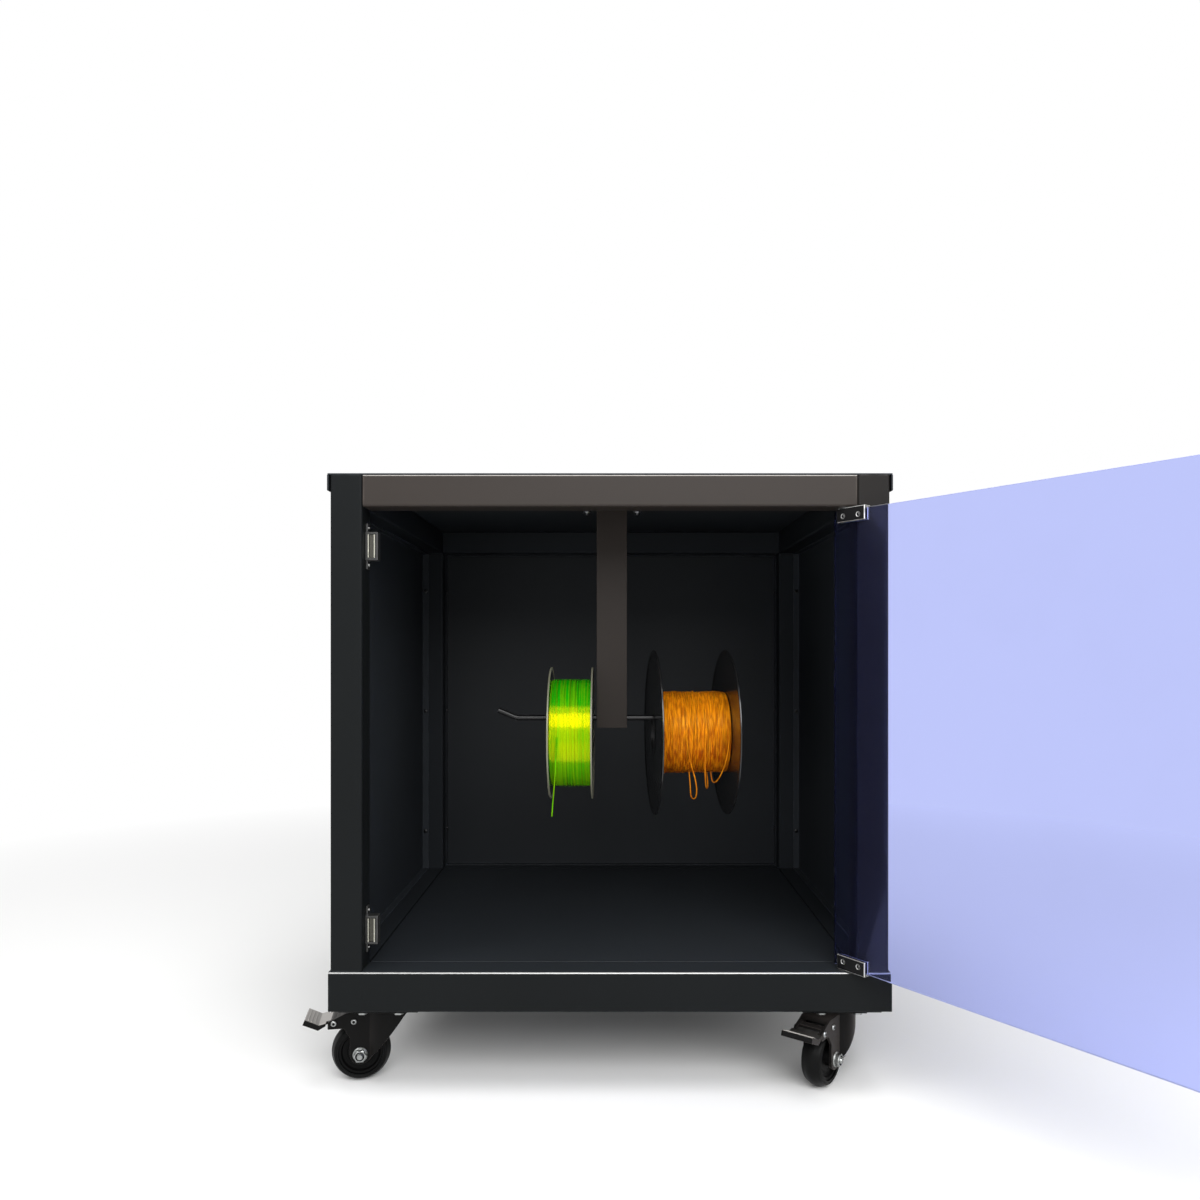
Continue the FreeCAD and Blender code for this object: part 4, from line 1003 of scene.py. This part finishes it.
class DRYER_OT_hanger(bpy.types.Operator):
    """Hanger channel, bent rod, bolts and filament guide"""
    bl_idname = "dryer.hanger"
    bl_label = "Spool hanger"

    def execute(self, context):
        look = context.scene.dryer_cabinet
        eased("spool_hanger", powder_coat("hanger_coat", look.hanger_colour, 0.48, specular=0.12), look.ease)
        eased("spool_rod", powder_coat("rod_black", (0.006, 0.006, 0.0065), 0.26, 0.02 * MM, 0.3), 0.5 * MM)
        eased("filament_guide", moulded("guide_nylon", (0.02, 0.02, 0.02)), 0.3 * MM)
        eased("hanger_bolts", bright_steel("hanger_zinc"), 0.3 * MM)
        return {"FINISHED"}


def winding_tree(name, material):
    """A tree that makes one slightly wandering helix of filament."""
    tree = Weave(name, Turns=("Float", 30.0), Radius=("Float", 0.05), Length=("Float", 0.05),
                 Strand=("Float", 0.0009), Wander=("Float", 0.0005), Grain=("Float", 30.0),
                 Seed=("Float", 7.0))
    radius = tree.read("Radius")
    helix = tree.add("GeometryNodeCurveSpiral", None, Resolution=72, Rotations=tree.read("Turns"),
                     Start_Radius=radius, End_Radius=radius, Height=tree.read("Length"))
    place = tree.add("GeometryNodeInputPosition")
    noise = tree.add("ShaderNodeTexNoise", {"noise_dimensions": "4D"}, Vector=place.outputs[0],
                     Scale=tree.read("Grain"), Detail=1.0, W=tree.read("Seed"))
    centred = tree.board.node("ShaderNodeVectorMath", {"operation": "SUBTRACT"},
                              {0: noise.outputs["Color"], 1: (0.5, 0.5, 0.5)})
    push = tree.board.node("ShaderNodeVectorMath", {"operation": "SCALE"},
                           {0: centred.outputs[0], "Scale": tree.read("Wander")})
    moved = tree.add("GeometryNodeSetPosition", None, Geometry=helix.outputs[0], Offset=push.outputs[0])
    section = tree.add("GeometryNodeCurvePrimitiveCircle", None, Resolution=6, Radius=tree.read("Strand"))
    tube = tree.add("GeometryNodeCurveToMesh", None, Curve=moved.outputs[0],
                    Profile_Curve=section.outputs[0], Fill_Caps=True)
    tree.close(tube.outputs[0], material)
    return tree


# The drum under the turns: its depth in strands, its bore's share of its radius and its room at each flange
DRUM_DEPTH = 0.75
DRUM_BORE = 0.62
DRUM_ROOM = 0.1 * MM

# Angle from the start of one layer to the next, in radians
LAYER_TURN = 1.3


def winding(name, tree, centre, axis, radius, width, strand, layers, seed):
    """Turns of filament on a drum. A layer is its turns, lift, wander, grain, share, start and flip."""
    inner = radius - DRUM_DEPTH * strand
    hollow = inner * DRUM_BORE
    edge = width / 2 - DRUM_ROOM
    builds = [turned([(hollow, -edge), (inner, -edge), (inner, edge), (hollow, edge)], 96)]
    length = width - strand
    for number, (turns, lift, wander, grain, share, start, flip) in enumerate(layers):
        made = tree.bake(f"{name}_{number}", bpy.data.meshes.new("empty"), Turns=turns,
                         Radius=radius - strand / 2 + lift * strand, Length=length * share,
                         Strand=strand / 2, Wander=wander, Grain=grain, Seed=float(seed + number))
        build = bmesh.new()
        build.from_mesh(made.data)
        shift = Matrix.Translation((0, 0, -length / 2 + length * start))
        mirror = Matrix.Diagonal((1, -1 if flip else 1, 1, 1))
        build.transform(Matrix.Rotation(LAYER_TURN * number, 4, "Z") @ mirror @ shift)
        if flip:
            bmesh.ops.reverse_faces(build, faces=build.faces)
        builds.append(build)
        bpy.data.objects.remove(made)
    return set_at(joined(*builds), centre, axis, FRONT)


def drawn_tight(centre, axis, share):
    """A finish that leans the normals of wound turns towards those of a smooth drum."""
    def finish(piece):
        normals = []
        for vertex in piece.data.vertices:
            out = vertex.co - centre
            out = (out - axis * out.dot(axis)).normalized()
            normals.append(vertex.normal.lerp(out, share).normalized())
        piece.data.normals_split_custom_set_from_vertices(normals)
        return piece
    return finish


def flange_pair(profile, half, thick, count, centre, axis):
    """Both flanges of a spool. The profile has radii in millimetres and shares of the thickness."""
    flanges = [turned([(radius * MM, side * (half - thick * share)) for radius, share in profile], count)
               for side in (-1, 1)]
    return joined(*(set_at(flange, centre, axis, FRONT) for flange in flanges))


# Outlines of the flanges: radius in millimetres and share of the thickness, from the outer face
GREEN_FLANGE = (
    (26.5, 0.0), (27.5, 0.0), (28.0, 0.12), (39.0, 0.12), (39.6, 0.3), (91.7, 0.3), (92.4, 0.05), (94.8, 0.0),
    (96.0, 0.25), (96.0, 0.9), (95.0, 1.0), (92.6, 1.0), (92.0, 0.78), (39.6, 0.78), (39.0, 1.0), (26.5, 1.0),
)
ORANGE_FLANGE = (
    (25.5, 0.0), (34.0, 0.0), (35.0, 0.25), (112.0, 0.25), (113.0, 0.0), (118.6, 0.0), (120.0, 0.3),
    (120.0, 0.8), (118.8, 1.0), (113.5, 1.0), (112.5, 0.8), (40.0, 0.8), (39.0, 1.0), (25.5, 1.0),
)


class DRYER_OT_green_spool(bpy.types.Operator):
    """Clear spool of green filament"""
    bl_idname = "dryer.green_spool"
    bl_label = "Green spool"

    def execute(self, context):
        look = context.scene.dryer_spools
        strand = look.strand
        clear = see_through("clear_moulding", (0.93, 0.96, 0.94), 0.06)
        rim = see_through("frosted_rim", (0.36, 0.35, 0.26), 0.35, 0.5)
        low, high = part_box("green_spool_flanges")
        flanges = flange_pair(GREEN_FLANGE, (high.x - low.x) / 2, 2.5 * MM, 128, GREEN_AT, ACROSS)

        def on_rim(normal, middle):
            return int((middle - GREEN_AT).yz.length > 92.0 * MM)
        put(faced(flanges, on_rim), (clear, rim), "green_spool_flanges", "green_flanges")
        eased("green_spool_core", see_through("clear_core", (0.90, 0.94, 0.91), 0.12), 0.4 * MM)
        # The lean of (0, 0, -4.4) paints the lower turns yellower and the upper ones greener, as painted light.
        green = wound_plastic("green_filament_gloss", look.green_bright, look.green_deep, GREEN_GLINT,
                              GREEN_AT, (0, 0, -4.4), 9, 2.7, 0.17)
        low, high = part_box("green_filament")
        width = high.x - low.x
        turns = width / (strand * 1.04)
        layers = [(turns, -0.35, 0.0006, 40.0, 1.0, 0.0, False),
                  (turns * 0.5, 0.0, 0.0012, 28.0, 0.5, 0.02, True),
                  (turns * 0.44, 0.0, 0.0014, 22.0, 0.47, 0.51, False)]
        whole = winding("green_turns", winding_tree("Green Winding", green), GREEN_AT, ACROSS,
                        (high.z - low.z) / 2, width, strand, layers, look.seed)
        put(whole, green, "green_filament", "green_winding", drawn_tight(GREEN_AT, ACROSS, 0.66))
        return {"FINISHED"}


class DRYER_OT_orange_spool(bpy.types.Operator):
    """Black spool of orange filament"""
    bl_idname = "dryer.orange_spool"
    bl_label = "Orange spool"

    def execute(self, context):
        look = context.scene.dryer_spools
        strand = look.strand
        black = moulded("black_flange", (0.009, 0.009, 0.0095), 0.2, 0.01 * MM)
        half = 54.5 * MM
        thick = 3.0 * MM
        flanges = flange_pair(ORANGE_FLANGE, half, thick, 144, ORANGE_AT, ORANGE_AXIS)
        put(flanges, black, "orange_spool_flanges", "orange_flanges")
        eased("orange_spool_core", moulded("black_core", (0.008, 0.008, 0.0085), 0.3), 0.4 * MM)
        # The lean of (0, 0, 5.0) paints the upper turns brighter and the lower ones deeper, as painted light and
        # shade, and the 60 dashes break the tones into flecks that stand partly for painted highlights.
        orange = wound_plastic("orange_filament_gloss", look.orange_bright, look.orange_deep, ORANGE_GLINT,
                               ORANGE_AT, (0, 0, 5.0), 60)
        room = 0.3 * MM
        width = 2 * (half - thick - room)
        radius = 59.5 * MM
        turns = width / (strand * 1.08)
        layers = [(turns, -0.4, 0.0012, 34.0, 1.0, 0.0, False),
                  (turns * 0.34, -0.05, 0.0042, 20.0, 0.55, 0.03, True),
                  (turns * 0.3, 0.0, 0.0046, 17.0, 0.5, 0.45, False),
                  (turns * 0.12, 0.05, 0.005, 14.0, 0.8, 0.1, True)]
        layers += [(1.2 + 0.4 * (k % 3), 0.1, 0.004, 12.0, 0.6, 0.04 * k, k % 2 == 1) for k in range(9)]
        whole = winding("orange_turns", winding_tree("Orange Winding", orange), ORANGE_AT, ORANGE_AXIS,
                        radius, width, strand, layers, look.seed)
        put(whole, orange, "orange_filament", "orange_winding", None)
        return {"FINISHED"}


CASTERS = ("front_left", "front_right", "rear_left", "rear_right")
FORK_HALF = 19.5 * MM
RIVET_RADIUS = 2.5 * MM
RIVET_HALF = FORK_HALF + 1.0 * MM

# The axle bolt with its nut, thread and head, all from the fork's sides, and the nut's flange in millimetres
BOLT_RADIUS = 4.0 * MM
NUT_FLANGE = ((4.05, 0), (9.4, 0), (9.4, 0.6), (8.2, 1.8), (4.05, 1.8))
NUT_CORNER = 8.4 * MM
NUT_HEIGHT = 5.6 * MM
NUT_BORE = 4.05 * MM
NUT_FROM = 1.4 * MM
NUT_SIDES = 36
THREAD_FROM = 5.8 * MM
THREAD_TO = 9.2 * MM
THREAD_PITCH = 1.25 * MM
HEAD_TOP = 7.0 * MM
HEAD_CHAMFER = 0.8 * MM
HEAD_HEIGHT = 5.0 * MM

# The stop pin from the wheel's middle, forward and up
STOP_FORWARD = 8.0 * MM
STOP_UP = 43.0 * MM

# The pedal's tread, in millimetres from its pivot: its start, and its bend and toe before the lift in degrees
TREAD_START = 9.0
TREAD_BEND = (18.0, -3.0)
TREAD_TOE = (36.0, 2.5)
TREAD_LIFT = 8.0

# Corners of one rib and the ribs' places between bend and toe
RIB_LOW = Vector((-0.9, -18.0, -0.5)) * MM
RIB_HIGH = Vector((0.9, 18.0, 0.8)) * MM
RIB_SHARES = (0.28, 0.52, 0.76)

# The tyre's crown, in millimetres: its radius, its drop at each end, its steps to a side and their width
TYRE_RADIUS = 37.5
CROWN_DROP = 1.2
CROWN_STEPS = 6
CROWN_STEP = 0.9

# Half outlines of the wheel from its middle, in millimetres: the tyre's flank and the core
TYRE_FLANK = ((35.2, 7.6), (34.4, 10.0), (33.6, 11.4), (33.0, 12.2), (32.4, 11.9), (31.6, 12.5), (30.6, 12.9),
              (30.0, 12.4), (28.8, 12.9), (28.1, 13.0))
CORE = ((4.06, 15.4), (9.4, 15.4), (10.0, 14.8), (10.6, 8.0), (11.4, 7.4), (16.8, 7.4), (17.3, 7.9),
        (18.7, 7.9), (19.2, 7.4), (23.2, 7.4), (24.0, 8.2), (24.4, 10.4), (25.0, 11.0), (27.6, 11.0),
        (28.0, 10.6))


class DRYER_OT_casters(bpy.types.Operator):
    """Four swivel casters with forks, wheels, axles and brake pedals"""
    bl_idname = "dryer.casters"
    bl_label = "Casters"

    def execute(self, context):
        look = context.scene.dryer_casters
        paint = powder_coat("caster_paint", look.steel_colour, 0.36, 0.03 * MM, 0.07, dust=0.13)
        zinc = bright_steel("caster_zinc", (0.33, 0.34, 0.335), 0.3)
        tread = bright_steel("tread_steel", (0.40, 0.38, 0.36), 0.32)
        rubber = moulded("tyre_rubber", look.tyre_colour, 0.40, 0.06 * MM, specular=0.09)
        nylon = moulded("wheel_nylon", (0.0028, 0.0028, 0.0029), 0.4, specular=0.06)
        eased("caster_plates", paint, 0.5 * MM)
        eased("caster_bolts", zinc, 0.4 * MM)
        for corner in CASTERS:
            joint = JOINTS[f"{corner}_wheel_roll"]
            centre = Vector(joint["pos_m"])
            axis = Vector(joint["axis"])
            braked = f"{corner}_brake_pedal" in frame["nodes"]
            eased(f"{corner}_fork", paint, 0.7 * MM)
            self.axle(corner, centre, axis, zinc, braked)
            self.tyre(corner, centre, axis, rubber)
            self.core(corner, centre, axis, nylon)
            if braked:
                self.pedal(corner, axis, paint, tread, zinc)
        return {"FINISHED"}

    def axle(self, corner, centre, axis, zinc, braked):
        """Bolt with a flange nut and thread end, and on braked casters the riveted stop pin."""
        flange = turned(in_mm(NUT_FLANGE, FORK_HALF), 48)
        nut = hex_nut(NUT_CORNER, NUT_HEIGHT, NUT_BORE)
        nut.transform(Matrix.Translation((0, 0, FORK_HALF + NUT_FROM)))
        overlap = 0.2 * MM
        end = FORK_HALF + THREAD_FROM + overlap
        shank = turned([(BOLT_RADIUS, -FORK_HALF), (BOLT_RADIUS, end)], 24, closed=False)
        thread = threaded_end(BOLT_RADIUS, FORK_HALF + THREAD_FROM, FORK_HALF + THREAD_TO, THREAD_PITCH)
        sides = hexagon(NUT_CORNER)
        head = shell([circle(HEAD_TOP, -FORK_HALF - HEAD_HEIGHT, NUT_SIDES),
                      star(sides, -FORK_HALF - HEAD_HEIGHT + HEAD_CHAMFER, NUT_SIDES),
                      star(sides, -FORK_HALF, NUT_SIDES)])
        builds = [set_at(build, centre, axis) for build in (flange, nut, shank, thread, head)]
        if braked:
            builds += self.rivet(centre + axis.cross(UP) * STOP_FORWARD + UP * STOP_UP, axis)
        put(joined(*builds), zinc, f"{corner}_axle")

    def rivet(self, middle, axis):
        """A shaded pin across the fork with a formed, dimpled head at each end."""
        ends = [(RIVET_RADIUS, -RIVET_HALF), (RIVET_RADIUS, RIVET_HALF)]
        # The whole pin is painted near black, as painted shade between the fork's cheeks.
        pin = shade(turned(ends, 20, closed=False), lambda spot: True)
        builds = [set_at(pin, middle, axis)]
        outline = ((1.5, -0.6), (1.45, 0.3), (1.15, 1.0), (0.72, 1.2), (0.55, 0.7))
        for side in (-1, 1):
            cap = turned([(RIVET_RADIUS * out, up * MM) for out, up in outline], 24, closed=False)
            # The dimple is painted dark, as painted shade.
            shade(cap, lambda spot: spot.xy.length < RIVET_RADIUS * 0.68 and spot.z > 0)
            builds.append(set_at(cap, middle + axis * side * RIVET_HALF, axis * side))
        return builds

    def pedal(self, corner, axis, paint, tread, zinc):
        """Brake pedal with a bright ribbed tread on a black lever, and its riveted pivot."""
        node = f"{corner}_brake_pedal"
        pivot = Vector(JOINTS[f"{corner}_brake_press"]["pos_m"])
        forward = axis.cross(UP)

        def on_tread(normal, middle):
            return int(normal.z > 0.6 and (middle - pivot).dot(forward) > TREAD_START * MM)
        build = faced(ease_edges(solid_copy(node), 0.6 * MM), on_tread)
        lift = Matrix.Rotation(math.radians(TREAD_LIFT), 2)
        bend, toe = lift @ Vector(TREAD_BEND) * MM, lift @ Vector(TREAD_TOE) * MM
        slope = math.atan2(toe.y - bend.y, toe.x - bend.x)
        lay = Matrix.Translation(pivot) @ Matrix((forward, axis, UP)).transposed().to_4x4()
        for share in RIB_SHARES:
            rib = block(RIB_LOW, RIB_HIGH, 0.35 * MM)
            for face in rib.faces:
                face.material_index = 1
            spot = bend.lerp(toe, share)
            rib.transform(lay @ Matrix.Translation((spot.x, 0, spot.y)) @ Matrix.Rotation(-slope, 4, "Y"))
            build = joined(build, rib)
        put(build, (paint, tread), node, f"{corner}_pedal_look")
        put(joined(*self.rivet(pivot, axis)), zinc, node, f"{corner}_pedal_rivet")

    def tyre(self, corner, centre, axis, rubber):
        """A tyre with a rounded crown and ringed flanks."""
        crown = [(TYRE_RADIUS - CROWN_DROP * (i / CROWN_STEPS) ** 2, i * CROWN_STEP)
                 for i in range(-CROWN_STEPS, CROWN_STEPS + 1)]
        low = [(radius, -height) for radius, height in reversed(TYRE_FLANK)]
        build = turned(in_mm((*low, *crown, *TYRE_FLANK)), 96)
        put(set_at(build, centre, axis), rubber, f"{corner}_tyre")

    def core(self, corner, centre, axis, nylon):
        """A wheel core with a hub, a ringed web and a rim."""
        low = [(radius, -height) for radius, height in reversed(CORE)]
        build = turned(in_mm((*CORE, *low)), 72)
        put(set_at(build, centre, axis), nylon, f"{corner}_wheel_core", f"{corner}_core_look")


class DRYER_PT_panel(bpy.types.Panel):
    """Lists the pieces of the dryer box"""
    bl_label = "Dryer Box"
    bl_idname = "DRYER_PT_panel"
    bl_space_type = "VIEW_3D"
    bl_region_type = "UI"
    bl_category = "Dryer Box"

    def draw(self, context):
        for operator in OPERATORS:
            self.layout.operator(operator.bl_idname)
        for look in LOOKS:
            group = getattr(context.scene, look)
            for name in group.bl_rna.properties.keys():
                if name not in ("rna_type", "name"):
                    self.layout.prop(group, name)


OPERATORS = (
    DRYER_OT_stage, DRYER_OT_loose_strands, DRYER_OT_frame, DRYER_OT_panels, DRYER_OT_door, DRYER_OT_catches,
    DRYER_OT_hanger, DRYER_OT_green_spool, DRYER_OT_orange_spool, DRYER_OT_casters,
)
LOOKS = {
    "dryer_cabinet": CabinetLook,
    "dryer_door": DoorLook,
    "dryer_spools": SpoolLook,
    "dryer_casters": CasterLook,
    "dryer_stage": StageLook,
}
CLASSES = (*LOOKS.values(), *OPERATORS, DRYER_PT_panel)


def register():
    for item in CLASSES:
        bpy.utils.register_class(item)
    for name, look in LOOKS.items():
        setattr(bpy.types.Scene, name, PointerProperty(type=look))


def unregister():
    for name in LOOKS:
        delattr(bpy.types.Scene, name)
    for item in reversed(CLASSES):
        bpy.utils.unregister_class(item)


def main():
    register()
    for operator in OPERATORS:
        family, name = operator.bl_idname.split(".")
        getattr(getattr(bpy.ops, family), name)()


if __name__ == "__main__":
    main()
